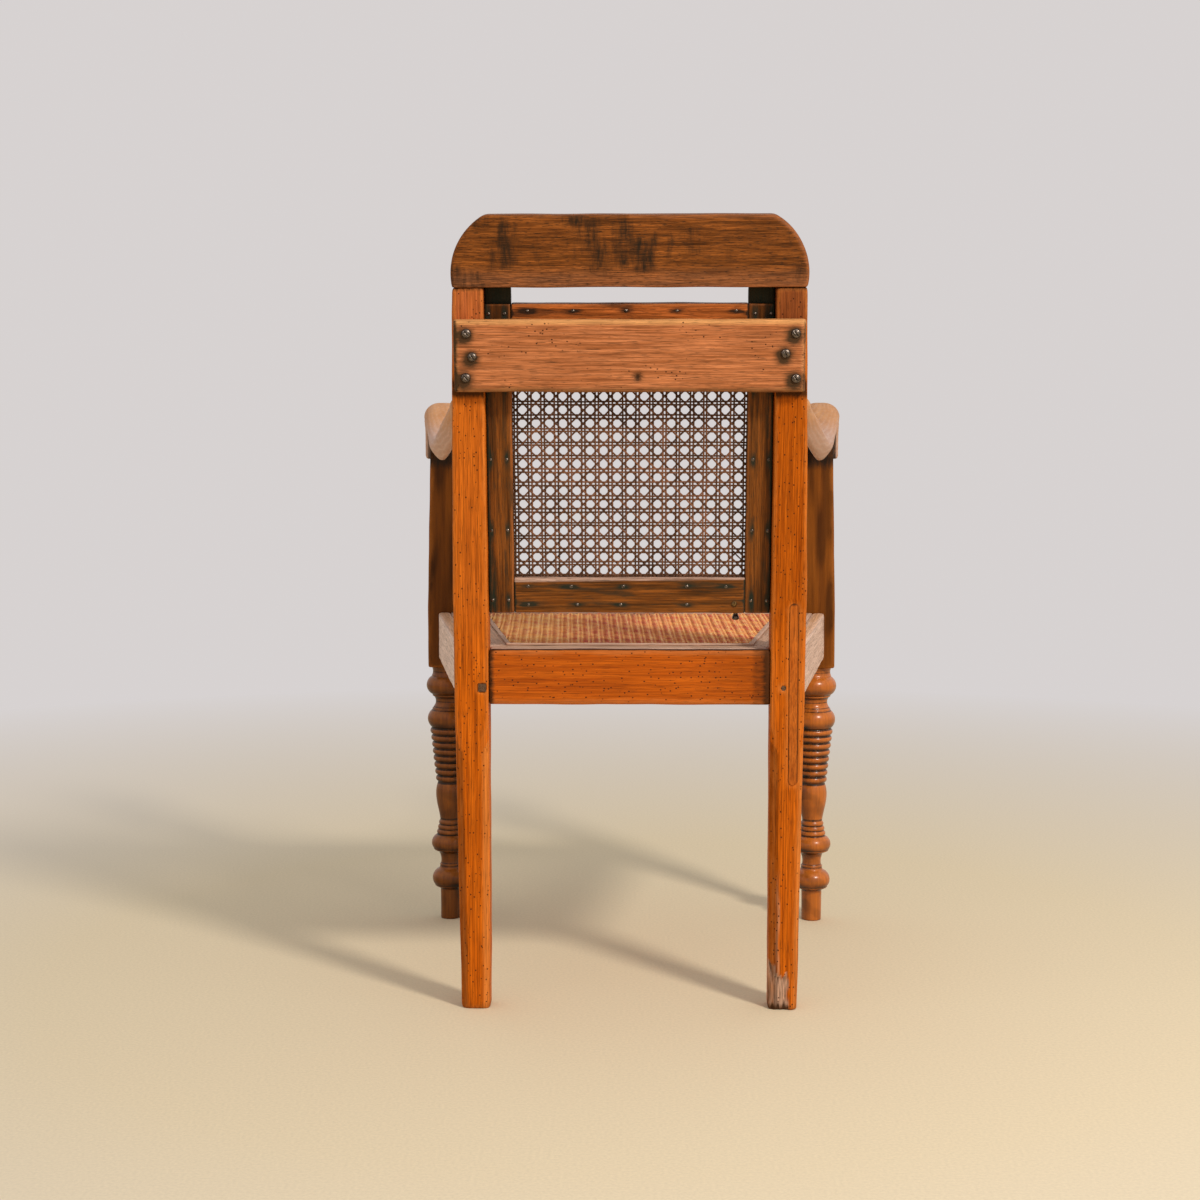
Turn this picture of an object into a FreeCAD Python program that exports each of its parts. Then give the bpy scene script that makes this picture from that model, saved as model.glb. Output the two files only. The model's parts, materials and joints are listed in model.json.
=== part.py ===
import FreeCAD, Part
import math
import os

# A cane armchair whose caned back slides up between its rear posts. Sizes in millimetres and degrees.
# +Z is up, the sitter faces -Y and +X is the sitter's left.
# The origin is on the floor, under the middle of the chair's box.

# Reach of cutting tools past the faces they open, and a length longer than any piece is wide
overcut = 1.0
far = 400.0

# Rake of the back
rake = 8.5
bend_height = 480.0
bend_radius = 300.0
arm_reach = 551.0
crest_top = 997.0
rear_face = (arm_reach - (crest_top - bend_height) * math.tan(math.radians(rake))) / 2

# Rear posts
post_inner = 178.0
post_outer_line = ((215.0, 0.0), (221.5, 400.0), (222.5, 528.0), (215.5, 920.0))
post_depth = 44.0
post_foot_depth = 36.0
post_top = 911.0
post_edge_radius = 2.0
chamfer_size = 5.5
chamfer_top = 352.0
chamfer_run_out = 22.0

# Let-in repair in the right post
patch_middle = 207.0
patch_width = 12.0
patch_depth = 6.0
patch_low = 291.0
patch_high = 523.0

# Seat rails
rail_low = 393.0
seat_top = 463.0
seat_slope = 0.014
rail_thick = 26.0
rear_rail_inset = 3.0
rail_rebate = 9.0
rail_edge_radius = 4.0
tenon_thick = 12.0
tenon_long = 22.0
tenon_shoulder = 12.0
side_tenon_long = 18.0
side_rail_rear_x = 221.0
side_rail_front_x = 287.0
front_rail_inset = 5.0

# Pegs through the rear rail's tenons
peg_height = 415.0
square_peg_x = 186.0
square_peg_size = 10.0
round_peg_x = 195.0
round_peg_radius = 3.2
peg_long = 26.0
peg_proud = 0.8

# Front legs
leg_x = 274.0
leg_setback = 481.0
block_half = 29.0
block_top_half = 24.0
block_low = 386.0
block_taper_start = 478.0
block_top = 742.0
block_edge_radius = 2.5
arm_tenon_radius = 10.0
arm_tenon_long = 16.0

# Turned part, from the block down. Each ball or cove: radius above, its own radius, radius below, top, foot
neck_cove = (26.5, 25.0, 26.5, 384.0, 372.0)
upper_ball = (26.0, 34.5, 25.6, 371.0, 343.0)
upper_cove = (24.5, 21.0, 24.0, 341.0, 325.0)
bulb = (25.0, 33.0, 28.0, 321.0, 294.0)
ring_count = 8
ring_top = 293.0
ring_low = 210.0
ring_radius_top = 29.5
ring_radius_low = 21.8
ring_groove = 3.0
ring_quirk = 0.4
vase = ((18.6, 209.4), (21.8, 193.0), (19.6, 175.0), (15.9, 158.0), (15.0, 152.0))
thin_ring_count = 3
thin_ring_top = 151.0
thin_ring_low = 129.0
thin_ring_radius_top = 17.2
thin_ring_radius_low = 20.4
thin_ring_groove = 1.6
thin_ring_quirk = 0.2
lower_ball = (20.0, 28.3, 18.0, 128.6, 103.0)
lower_cove = (16.5, 14.1, 16.0, 101.0, 80.0)
foot_ball = (16.8, 27.6, 16.8, 77.0, 47.0)
ankle_radius = 15.2
ankle_top = 45.0
foot_radius = 13.5
foot_bevel = 1.2

# Arms: rows of forward distance, height of the middle, thickness, distance from the middle plane, width,
# and the lower edge's share of the width
arm_stations = (
    (-8.0, 763.5, 42.0, 204.5, 33.0, 0.45),
    (45.0, 760.0, 41.0, 213.0, 34.0, 0.36),
    (110.0, 747.5, 40.0, 225.0, 36.0, 0.30),
    (180.0, 729.0, 39.0, 242.0, 38.0, 0.28),
    (250.0, 716.0, 38.0, 256.0, 40.0, 0.28),
    (315.0, 713.5, 38.0, 267.0, 42.0, 0.32),
    (375.0, 722.0, 39.0, 273.5, 45.0, 0.45),
    (425.0, 739.0, 41.0, 277.0, 48.0, 0.65),
    (465.0, 753.0, 43.0, 279.5, 51.0, 0.82),
    (500.0, 757.0, 45.0, 282.0, 53.0, 0.85),
    (525.0, 743.0, 42.0, 283.0, 55.0, 0.85),
    (533.0, 718.0, 36.0, 283.5, 55.0, 0.80),
    (530.0, 697.0, 28.0, 283.5, 53.0, 0.75),
)
arm_roundness = 0.47
arm_keel_roundness = 0.8
arm_post_tenon = (12.0, 22.0, 22.0)
arm_tenon_root = 12.0

# Tie slat and its screws
slat_half = 213.5
slat_low = 785.0
slat_high = 872.0
slat_thick = 16.0
slat_edge_radius = 5.0
screw_spots_left = ((197.5, 856.0), (190.7, 828.0), (199.0, 803.0))
screw_spots_right = ((201.0, 856.0), (189.0, 832.0), (202.0, 802.0))
screw_head_radius = 6.0
screw_head_high = 3.8
screw_shank_radius = 2.4
screw_long = 40.0
screw_turn_first = 35.0
screw_turn_step = 50.0
screw_slot_wide = 1.3
screw_slot_deep = 1.2

# Seat frame and its cane
seat_frame_thick = 18.0
seat_gap = 0.5
cane_inset_rear = 50.0
cane_inset_side = 65.3
cane_inset_front = 426.0
cane_margin = 12.0
seat_cane_thick = 2.2
binder_width = 6.0
binder_high = 3.0

# Gaps of the seat's cane
seat_net_pitch = 20.0
seat_net_hole = 12.0
seat_net_corner = 3.6
seat_net_edge = 1.5

# Rising back, measured across the rake
back_recess = 16.0
strip_thick = 8.0
back_cane_thick = 2.0
back_frame_thick = 17.0
back_half = 177.2
opening_half = 145.6
back_low = 509.0
opening_low = 554.0
opening_high = 850.0
back_high = 893.0
back_rise = 200.0
tongue_thick = 8.0
tongue_long = 6.5
groove_play = 0.5
groove_below = 8.0
frame_tenon_long = 20.0
frame_tenon_thick = 6.0
frame_tenon_shoulder = 6.0
bottom_tenon_lift = 16.0
top_tenon_lift = 8.0
strip_edge_radius = 1.2

# Holes of the back's cane
cane_edge = 2.0
cane_columns = 17
cane_rows = 17
cane_pitch = 16.95
cane_hole = 10.4
cane_hole_corner = 3.2

# Crest rail
crest_half = 217.0
crest_arc_radius = 81.0
crest_arc_height = 927.5
crest_gap = 0.7
crest_front = 40.0
crest_proud = 1.0
crest_edge_radius = 4.0
crest_corner_radius = 18.0
crest_tenon_long = 24.0

# Nails of the strips
nail_rows = 5
nail_row_low = 525.0
nail_row_high = 881.0
nail_outer_x = 173.0
nail_inner_x = 153.0
low_row_x = (128.0, 66.0, 11.0, -72.5)
low_row_height = 519.5
sill_row_x = (128.0, 73.5, 8.0, -72.5, -121.5)
sill_row_height = 543.0
head_row_x = (125.0, 69.0, 4.5, -58.0, -130.0)
head_row_heights = (861.0, 884.5)
nail_head_radius = 2.2
nail_head_high = 0.9
nail_shank_radius = 0.9
nail_long = 14.0

# Catch at the foot of the back
bolt_radius = 3.25
bolt_play = 0.4
bolt_height = 517.5
bolt_tip_x = 184.0
bolt_long = 68.0
bolt_travel = 8.0
bolt_stop_play = 1.5
bolt_mouth = 4.0
bolt_chamfer = 1.0
catch_step = 50.0
knob_x = 135.0
knob_stem_radius = 2.2
knob_radius = 4.6
knob_drop = 13.0
collar_lift = 0.6
collar_high = 1.2
collar_proud = 0.9
catch_screw_x = 132.0
catch_screw_height = 521.0
catch_screw_radius = 4.0
catch_screw_high = 2.8
catch_screw_shank = 1.6
catch_screw_long = 18.0
catch_screw_turn = 70.0

rake_sin = math.sin(math.radians(rake))
rake_cos = math.cos(math.radians(rake))
front_face = rear_face - leg_setback - block_half
block_rear = rear_face - leg_setback + block_half
post_front = rear_face - post_depth
parts = {}


def point(x, y, z):
    return FreeCAD.Vector(x, y, z)


def block(x_low, x_high, y_low, y_high, z_low, z_high):
    return Part.makeBox(x_high - x_low, y_high - y_low, z_high - z_low, point(x_low, y_low, z_low))


def prism(corners, along):
    wire = Part.makePolygon(corners + corners[:1])
    return Part.Face(wire).extrude(along)


def seat_rise(y):
    """How much the seat has climbed at this place, from the rear legs towards the front."""
    return seat_slope * (rear_face - y)


def seat_prism(corners, low, high):
    """Upright prism on a plan outline, with its lower and upper faces along the slope of the seat."""
    return prism([point(x, y, low + seat_rise(y)) for x, y in corners], point(0, 0, high - low))


def cylinder(radius, long, start, along):
    return Part.makeCylinder(radius, long, start, along)


def mirrored(shape):
    return shape.mirror(point(0, 0, 0), point(1, 0, 0))


def raked(shape):
    """Lean a shape of the back's own frame, where y = 0 is the posts' rear face and z runs up the rake."""
    turned = shape.copy()
    turned.rotate(point(0, 0, 0), point(1, 0, 0), -rake)
    turned.translate(point(0, rear_face, bend_height))
    return turned


def up_rake(height, across=0.0):
    """Distance up the rake of a point at this height, on a plane this far behind the posts' rear face."""
    return (height - bend_height + across * rake_sin) / rake_cos


def rounded(shape, radius, wanted):
    """Round the edges whose middle and direction the function wanted accepts."""
    edges = []
    for edge in shape.Edges:
        middle = edge.valueAt((edge.FirstParameter + edge.LastParameter) / 2)
        along = edge.tangentAt((edge.FirstParameter + edge.LastParameter) / 2)
        if wanted(middle, along):
            edges.append(edge)
    return shape.makeFillet(radius, edges)


def joined(shapes):
    whole = shapes[0].multiFuse(shapes[1:])
    return whole.removeSplitter()


def post_line(forward):
    """Wire edges up a face of the rear post: upright, round the bend, then along the rake."""
    radius = bend_radius + forward
    reach = bend_radius * math.tan(math.radians(rake / 2))
    low_end = point(0, rear_face - forward, bend_height - reach)
    centre = point(0, rear_face + bend_radius, bend_height - reach)
    half = math.radians(rake / 2)
    full = math.radians(rake)
    middle = centre + point(0, -radius * math.cos(half), radius * math.sin(half))
    high_end = centre + point(0, -radius * math.cos(full), radius * math.sin(full))
    rest = up_rake(post_top) - reach
    top = high_end + point(0, rest * rake_sin, rest * rake_cos)
    return low_end, middle, high_end, top


def post_side(front_forward, foot_forward):
    """Side view of a post from its rear face to a line in front of it, from the floor to the crest."""
    low_f, mid_f, high_f, top_f = post_line(front_forward)
    low_r, mid_r, high_r, top_r = post_line(0.0)
    foot_f = point(0, rear_face - foot_forward, 0)
    knee_f = point(0, low_f.y, rail_low - tenon_shoulder)
    foot_r = point(0, rear_face, 0)
    edges = [
        Part.makeLine(foot_f, knee_f),
        Part.makeLine(knee_f, low_f),
        Part.Arc(low_f, mid_f, high_f).toShape(),
        Part.makeLine(high_f, top_f),
        Part.makeLine(top_f, top_r),
        Part.makeLine(top_r, high_r),
        Part.Arc(high_r, mid_r, low_r).toShape(),
        Part.makeLine(low_r, foot_r),
        Part.makeLine(foot_r, foot_f),
    ]
    return Part.Face(Part.Wire(edges))


def corner_cutter(x, inward, lean):
    """Chamfer along a leaning rear corner of a leg, running out to nothing under the seat rail."""
    size = chamfer_size
    out = x - inward * overcut
    base = [
        point(out, rear_face + overcut, 0),
        point(x + inward * size, rear_face + overcut, 0),
        point(x + inward * size, rear_face, 0),
        point(x, rear_face - size, 0),
        point(out, rear_face - size, 0),
    ]
    climb = point(lean * chamfer_top, 0, chamfer_top)
    shaft = prism(base, climb)
    in_face, in_side = base[2] + climb, base[3] + climb
    corner = point(x, rear_face, 0) + climb
    tip = corner + point(lean * chamfer_run_out, 0, chamfer_run_out)
    ring = [corner, in_face, in_side, corner]
    faces = [Part.Face(Part.makePolygon(ring))]
    for a, b in zip(ring, ring[1:]):
        faces.append(Part.Face(Part.makePolygon([a, b, tip, a])))
    run_out = Part.Solid(Part.Shell(faces))
    return shaft, run_out


def leg_chamfers():
    """Chamfers of the left leg's inner and outer rear corners."""
    foot, knee = post_outer_line[0], post_outer_line[1]
    lean = (knee[0] - foot[0]) / (knee[1] - foot[1])
    return corner_cutter(post_inner, 1, 0.0) + corner_cutter(foot[0], -1, lean)


def post_blank():
    """Left rear post before its joints are cut."""
    side = post_side(post_depth, post_foot_depth)
    side.translate(point(post_inner, 0, 0))
    slab = side.extrude(point(far, 0, 0))
    inner_x = post_inner - overcut
    outline = post_outer_line + ((inner_x, post_outer_line[-1][1]), (inner_x, 0.0))
    mask = prism([point(x, -far, z) for x, z in outline], point(0, 2 * far, 0))

    def long_edge(middle, along):
        return abs(along.z) > 0.9 and middle.z > chamfer_top

    return rounded(slab.common(mask), post_edge_radius, long_edge)


def slide_groove():
    """Groove for the stile's tongue in the left post, open at the top."""
    half = tongue_thick / 2 + groove_play
    low = up_rake(back_low) - groove_below
    high = up_rake(post_top) + overcut
    middle = tongue_middle()
    depth = tongue_long + 2 * groove_play
    return raked(block(post_inner - overcut, post_inner + depth, middle - half, middle + half, low, high))


def tongue_middle():
    return -(back_recess + strip_thick + back_cane_thick + back_frame_thick / 2)


def stadium(x, width, low, high):
    """Upright bar with round ends, reaching through a post from front to back."""
    radius = width / 2
    body = block(x - radius, x + radius, 0, far, low + radius, high - radius)
    ends = [cylinder(radius, far, point(x, 0, z), point(0, 1, 0)) for z in (low + radius, high - radius)]
    return joined([body] + ends)


def rear_rail():
    y_high = rear_face - rear_rail_inset
    y_low = y_high - rail_thick
    rail = block(-post_inner, post_inner, y_low, y_high, rail_low, seat_top)
    rail = rounded(rail, rail_edge_radius, lambda middle, along: abs(along.x) > 0.9 and middle.y > y_high - 1)
    shelf = seat_top - seat_frame_thick
    rebate = block(-post_inner, post_inner, y_low - overcut, y_low + rail_rebate, shelf, seat_top + overcut)
    middle = (y_low + y_high) / 2
    half = tenon_thick / 2
    reach = post_inner + tenon_long
    low, high = rail_low + tenon_shoulder, seat_top - 2 * tenon_shoulder
    tenon = block(-reach, reach, middle - half, middle + half, low, high)
    return joined([rail.cut(rebate), tenon])


def front_rail():
    y_low = front_face + front_rail_inset
    y_high = y_low + rail_thick
    end = leg_x - block_half
    rise = seat_rise(y_high)
    low, top = rail_low + rise, seat_top + rise
    rail = block(-end, end, y_low, y_high, low, top)
    rail = rounded(rail, rail_edge_radius, lambda middle, along: abs(along.x) > 0.9 and middle.y < y_low + 1)
    rebate = block(-end, end, y_high - rail_rebate, y_high + overcut, top - seat_frame_thick, top + overcut)
    middle = (y_low + y_high) / 2
    half = tenon_thick / 2
    reach = end + tenon_long
    tenon = block(-reach, reach, middle - half, middle + half, low + tenon_shoulder, top - 2 * tenon_shoulder)
    return joined([rail.cut(rebate), tenon])


def side_x(y, inset):
    """Distance from the middle plane to a line this far inside the left rail's outer face."""
    slope = (side_rail_front_x - side_rail_rear_x) / (post_front - block_rear)
    return side_rail_rear_x + slope * (post_front - y) - inset * math.hypot(1, slope)


def side_strip(inset_out, inset_in, y_front, y_rear):
    """Plan corners of a strip along the side rail, between two insets from its outer face."""
    return [
        (side_x(y_rear, inset_out), y_rear),
        (side_x(y_front, inset_out), y_front),
        (side_x(y_front, inset_in), y_front),
        (side_x(y_rear, inset_in), y_rear),
    ]


def side_rail():
    rail = seat_prism(side_strip(0, rail_thick, block_rear, post_front), rail_low, seat_top)
    core = side_x((block_rear + post_front) / 2, rail_thick / 2)
    rail = rounded(rail, rail_edge_radius, lambda middle, along: abs(along.y) > 0.9 and middle.x > core)
    shelf = side_strip(rail_thick - rail_rebate, rail_thick + overcut, block_rear, post_front)
    rebate = seat_prism(shelf, seat_top - seat_frame_thick, seat_top + overcut)
    shoulder = (rail_thick - tenon_thick) / 2
    reach = side_strip(shoulder, rail_thick - shoulder, block_rear - tenon_long, post_front + side_tenon_long)
    tenon = seat_prism(reach, rail_low + tenon_shoulder, seat_top - 2 * tenon_shoulder)
    return joined([rail.cut(rebate), tenon])


def bead(radius_top, radius_most, radius_low, top, low):
    """Round ring of a turning, as an arc in the XZ plane."""
    middle = point(radius_most, 0, (top + low) / 2)
    return Part.Arc(point(radius_top, 0, top), middle, point(radius_low, 0, low)).toShape()


def turned_edges():
    """Profile of the turned leg from the block down, as joined edges in the XZ plane."""
    edges = []
    start = block_low + overcut
    here = [point(0, 0, start)]

    def line_to(radius, height):
        there = point(radius, 0, height)
        if there.distanceToPoint(here[0]) > 1e-6:
            edges.append(Part.makeLine(here[0], there))
        here[0] = there

    def bead_to(radius_top, radius_most, radius_low, top, low):
        line_to(radius_top, top)
        edges.append(bead(radius_top, radius_most, radius_low, top, low))
        here[0] = point(radius_low, 0, low)

    line_to(neck_cove[0], start)
    for turning in (neck_cove, upper_ball, upper_cove, bulb):
        bead_to(*turning)
    step = (ring_top - ring_low) / ring_count
    for index in range(ring_count):
        share = index / (ring_count - 1)
        most = ring_radius_top + (ring_radius_low - ring_radius_top) * share
        top = ring_top - step * index
        least = most - ring_groove
        bead_to(least, most, least, top - ring_quirk, top - step + ring_quirk)
    line_to(*vase[0])
    swell = Part.BSplineCurve()
    swell.interpolate([point(radius, 0, height) for radius, height in vase])
    edges.append(swell.toShape())
    here[0] = point(vase[-1][0], 0, vase[-1][1])
    step = (thin_ring_top - thin_ring_low) / thin_ring_count
    for index in range(thin_ring_count):
        share = index / (thin_ring_count - 1)
        most = thin_ring_radius_top + (thin_ring_radius_low - thin_ring_radius_top) * share
        top = thin_ring_top - step * index
        least = most - thin_ring_groove
        bead_to(least, most, least, top - thin_ring_quirk, top - step + thin_ring_quirk)
    for turning in (lower_ball, lower_cove, foot_ball):
        bead_to(*turning)
    line_to(ankle_radius, ankle_top)
    line_to(foot_radius + foot_bevel, foot_bevel)
    line_to(foot_radius, 0)
    line_to(0, 0)
    line_to(0, start)
    return edges


def square_ring(half, height, y):
    corners = [(-half, -half), (half, -half), (half, half), (-half, half)]
    return Part.makePolygon([point(leg_x + a, y + b, height) for a, b in corners + corners[:1]])


def front_leg():
    y = rear_face - leg_setback
    turning = Part.Face(Part.Wire(turned_edges())).revolve(point(0, 0, 0), point(0, 0, 1), 360)
    turning.translate(point(leg_x, y, 0))
    inner, outer = leg_x - block_half, leg_x + block_half
    low_block = block(inner, outer, y - block_half, y + block_half, block_low, block_taper_start)
    rings = [square_ring(block_half, block_taper_start, y), square_ring(block_top_half, block_top, y)]
    high_block = Part.makeLoft(rings, True, True)
    squared = joined([low_block, high_block])
    squared = rounded(squared, block_edge_radius, lambda middle, along: abs(along.z) > 0.9)
    squared = rounded(squared, block_edge_radius, lambda middle, along: abs(middle.z - block_low) < 0.1)
    root = point(leg_x, y, block_top - overcut)
    tenon = cylinder(arm_tenon_radius, arm_tenon_long + overcut, root, point(0, 0, 1))
    return joined([squared, turning, tenon])


def arm_section(station, before, after):
    """Keeled section of the arm, square to its run in the side view."""
    forward, height, thick, x, width, keel = station
    run = math.atan2(after[1] - before[1], after[0] - before[0])
    radius = arm_roundness * min(thick, width)
    diagonal = radius * math.sqrt(0.5)
    a, b = width / 2, thick / 2
    core_a, core_b = a - radius, b - radius
    tip = keel * a
    shoulder = arm_keel_roundness * min(tip, b) - b

    def placed(across, up):
        y = rear_face - forward + up * math.sin(run)
        return point(x + across, y, height + up * math.cos(run))

    right = [(a, core_b), (core_a + diagonal, core_b + diagonal), (core_a, b)]
    left = [(-across, up) for across, up in reversed(right)]
    low = [(-tip, shoulder), (0.0, -b), (tip, shoulder)]
    arcs = [[placed(*spot) for spot in spots] for spots in (right, left, low)]
    edges = []
    for index, arc in enumerate(arcs):
        edges.append(Part.Arc(*arc).toShape())
        edges.append(Part.makeLine(arc[-1], arcs[(index + 1) % len(arcs)][0]))
    return Part.Wire(edges)


def arm_blank():
    wires = []
    last = len(arm_stations) - 1
    for index, station in enumerate(arm_stations):
        before = arm_stations[max(index - 1, 0)]
        after = arm_stations[min(index + 1, last)]
        wires.append(arm_section(station, before, after))
    return Part.makeLoft(wires, True, False)


def arm():
    behind = raked(block(0, far, -post_depth, far, 0, far))
    body = arm_blank().cut(behind)
    thick, high, long = arm_post_tenon
    x = arm_stations[0][3]
    z = up_rake(arm_stations[0][1], -post_depth)
    root, tip = -post_depth - arm_tenon_root, -post_depth + long
    tenon = block(x - thick / 2, x + thick / 2, root, tip, z - high / 2, z + high / 2)
    return joined([body, raked(tenon)])


def slat():
    low, high = up_rake(slat_low, slat_thick), up_rake(slat_high, slat_thick)
    board = block(-slat_half, slat_half, 0, slat_thick, low, high)
    board = rounded(board, slat_edge_radius, lambda middle, along: middle.y > slat_thick - 0.1)
    return raked(board)


def dome_screw(x, z, seat, radius, high, shank_radius, long, slot_turn):
    """Round-head screw with its head on the plane y = seat and its shank running forward."""
    ball = (radius * radius + high * high) / (2 * high)
    cap = Part.makeSphere(ball, point(x, seat + high - ball, z))
    cap = cap.common(cylinder(radius, high + overcut, point(x, seat, z), point(0, 1, 0)))
    bed, top = seat + high - screw_slot_deep, seat + high + overcut
    half = screw_slot_wide / 2
    slot = block(-radius - overcut, radius + overcut, bed, top, -half, half)
    slot.rotate(point(0, 0, 0), point(0, 1, 0), slot_turn)
    slot.translate(point(x, 0, z))
    shank = cylinder(shank_radius, long, point(x, seat + high / 4, z), point(0, -1, 0))
    return raked(joined([cap.cut(slot), shank]))


def slat_screws():
    screws = []
    for side, spots in ((1, screw_spots_left), (-1, screw_spots_right)):
        for index, (x, height) in enumerate(spots):
            z = up_rake(height, slat_thick)
            turn = screw_turn_first + screw_turn_step * index * side
            head = (screw_head_radius, screw_head_high)
            screws.append(dome_screw(side * x, z, slat_thick, *head, screw_shank_radius, screw_long, turn))
    return screws


def seat_members():
    """The four mitred members of the caned seat frame, let into the rails' rebates."""
    rear = rear_face - rear_rail_inset - rail_thick + rail_rebate - seat_gap
    front = front_face + front_rail_inset + rail_thick - rail_rebate + seat_gap
    out = rail_thick - rail_rebate + seat_gap
    hole = cane_inset_side + cane_margin
    open_rear = rear_face - cane_inset_rear - cane_margin
    open_front = rear_face - cane_inset_front + cane_margin
    post_x = post_inner - seat_gap
    post_y = post_front - seat_gap
    leg_y = block_rear + seat_gap
    leg_in = leg_x - block_half - seat_gap
    rear_in = (side_x(open_rear, hole), open_rear)
    front_in = (side_x(open_front, hole), open_front)
    side = [
        (post_x, post_y),
        (side_x(post_y, out), post_y),
        (side_x(leg_y, out), leg_y),
        (leg_in, leg_y),
        front_in,
        rear_in,
    ]
    back = [(post_x, rear), (post_x, post_y), rear_in]
    fore = [(leg_in, front), (leg_in, leg_y), front_in]
    back_all = back + [(-x, y) for x, y in reversed(back)]
    fore_all = fore + [(-x, y) for x, y in reversed(fore)]
    low = seat_top - seat_frame_thick
    left = seat_prism(side, low, seat_top)
    return seat_prism(back_all, low, seat_top), seat_prism(fore_all, low, seat_top), left


def cane_outline(inset):
    """Plan corners of the seat's cane, this far inside its row of holes."""
    rear = rear_face - cane_inset_rear - inset
    front = rear_face - cane_inset_front + inset
    half = [(side_x(rear, cane_inset_side + inset), rear), (side_x(front, cane_inset_side + inset), front)]
    return half + [(-x, y) for x, y in reversed(half)]


def seat_binder():
    """Mitred cane strips over the row of holes."""
    outer = cane_outline(-binder_width / 2)
    inner = cane_outline(binder_width / 2)
    strips = []
    for index in range(4):
        after = (index + 1) % 4
        corners = [outer[index], outer[after], inner[after], inner[index]]
        strip = seat_prism(corners, seat_top, seat_top + binder_high)
        strips.append(strip)
    return strips


def back_levels():
    """Heights up the rake of the back's lower edge, opening and upper edge."""
    plane = -back_recess
    return [up_rake(height, plane) for height in (back_low, opening_low, opening_high, back_high)]


def back_frame():
    """Stiles and rails of the back, tenoned together, in the back's own frame."""
    low, open_low, open_high, high = back_levels()
    rear = -(back_recess + strip_thick + back_cane_thick)
    front = rear - back_frame_thick
    middle = tongue_middle()
    half = frame_tenon_thick / 2
    crest_under = up_rake(post_top) + crest_gap
    stile = block(opening_half, back_half, front, rear, low, crest_under)
    root, tip = back_half - overcut, post_inner + tongue_long
    tongue_half = tongue_thick / 2
    tongue = block(root, tip, middle - tongue_half, middle + tongue_half, low, crest_under)
    inner, outer = opening_half + frame_tenon_shoulder, back_half - frame_tenon_shoulder
    tenon_top = crest_under + crest_tenon_long
    crest_tenon = block(inner, outer, middle - half, middle + half, crest_under - overcut, tenon_top)
    stile = joined([stile, tongue, crest_tenon])
    reach = opening_half + frame_tenon_long
    rails = []
    for base, top, lift in ((low, open_low, bottom_tenon_lift), (open_high, high, top_tenon_lift)):
        rail = block(-opening_half, opening_half, front, rear, base, top)
        tenon = block(-reach, reach, middle - half, middle + half, base + lift, top - frame_tenon_shoulder)
        stile = stile.cut(tenon)
        rails.append(joined([rail, tenon]))
    return stile, rails[0], rails[1]


def strips():
    """Backing strips: the sides run the full height, the top and bottom strips lie between them."""
    low, open_low, open_high, high = back_levels()
    rear = -back_recess
    front = rear - strip_thick
    boards = {
        "strip_left": block(opening_half, back_half, front, rear, low, high),
        "strip_right": block(-back_half, -opening_half, front, rear, low, high),
        "strip_top": block(-opening_half, opening_half, front, rear, open_high, high),
        "strip_bottom": block(-opening_half, opening_half, front, rear, low, open_low),
    }
    for name, board in boards.items():
        boards[name] = rounded(board, strip_edge_radius, lambda middle, along: middle.y > rear - 0.1)
    return boards


def gap_corners(size, corner):
    """Corners of an eight-sided gap about its middle."""
    long = size / 2
    short = long - corner
    quarter = [(long, short), (short, long)]
    half_ring = quarter + [(-a, b) for a, b in reversed(quarter)]
    return half_ring + [(-a, -b) for a, b in half_ring]


def net(border, gap, middles, place, through):
    """One sheet with a gap at each middle; the function place sets its flat points in space."""
    outlines = [border] + [[(x + a, y + b) for a, b in gap] for x, y in middles]
    wires = [Part.makePolygon([place(x, y) for x, y in outline + outline[:1]]) for outline in outlines]
    return Part.Face(wires, "Part::FaceMakerBullseye").extrude(through)


def spread(count, pitch):
    """Places of a centred row of this many gaps."""
    return [(index - (count - 1) / 2) * pitch for index in range(count)]


def back_cane():
    """Cane panel as one holed sheet: a grid of eight-sided gaps between its strands."""
    low, open_low, open_high, high = back_levels()
    front = -(back_recess + strip_thick + back_cane_thick)
    half, foot, head = back_half - cane_edge, low + cane_edge, high - cane_edge
    border = [(-half, foot), (half, foot), (half, head), (-half, head)]
    middle = (open_low + open_high) / 2
    rows = [middle + z for z in spread(cane_rows, cane_pitch)]
    middles = [(x, z) for z in rows for x in spread(cane_columns, cane_pitch)]
    gap = gap_corners(cane_hole, cane_hole_corner)
    return net(border, gap, middles, lambda x, z: point(x, front, z), point(0, back_cane_thick, 0))


def seat_cane():
    """Seat's cane as one holed sheet, with wider and fewer gaps than its weave has."""
    border = cane_outline(binder_width / 2)
    opening = cane_outline(cane_margin + seat_net_edge)
    rear, front = opening[0][1], opening[1][1]
    room = rear - front - seat_net_hole
    rows = int(room / seat_net_pitch) + 1
    middles = []
    for y in spread(rows, seat_net_pitch):
        level = (rear + front) / 2 + y
        half = side_x(level + seat_net_hole / 2, cane_inset_side + cane_margin + seat_net_edge)
        columns = int((2 * half - seat_net_hole) / seat_net_pitch) + 1
        middles += [(x, level) for x in spread(columns, seat_net_pitch)]
    gap = gap_corners(seat_net_hole, seat_net_corner)
    through = point(0, 0, seat_cane_thick)
    return net(border, gap, middles, lambda x, y: point(x, y, seat_top + seat_rise(y)), through)


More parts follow.
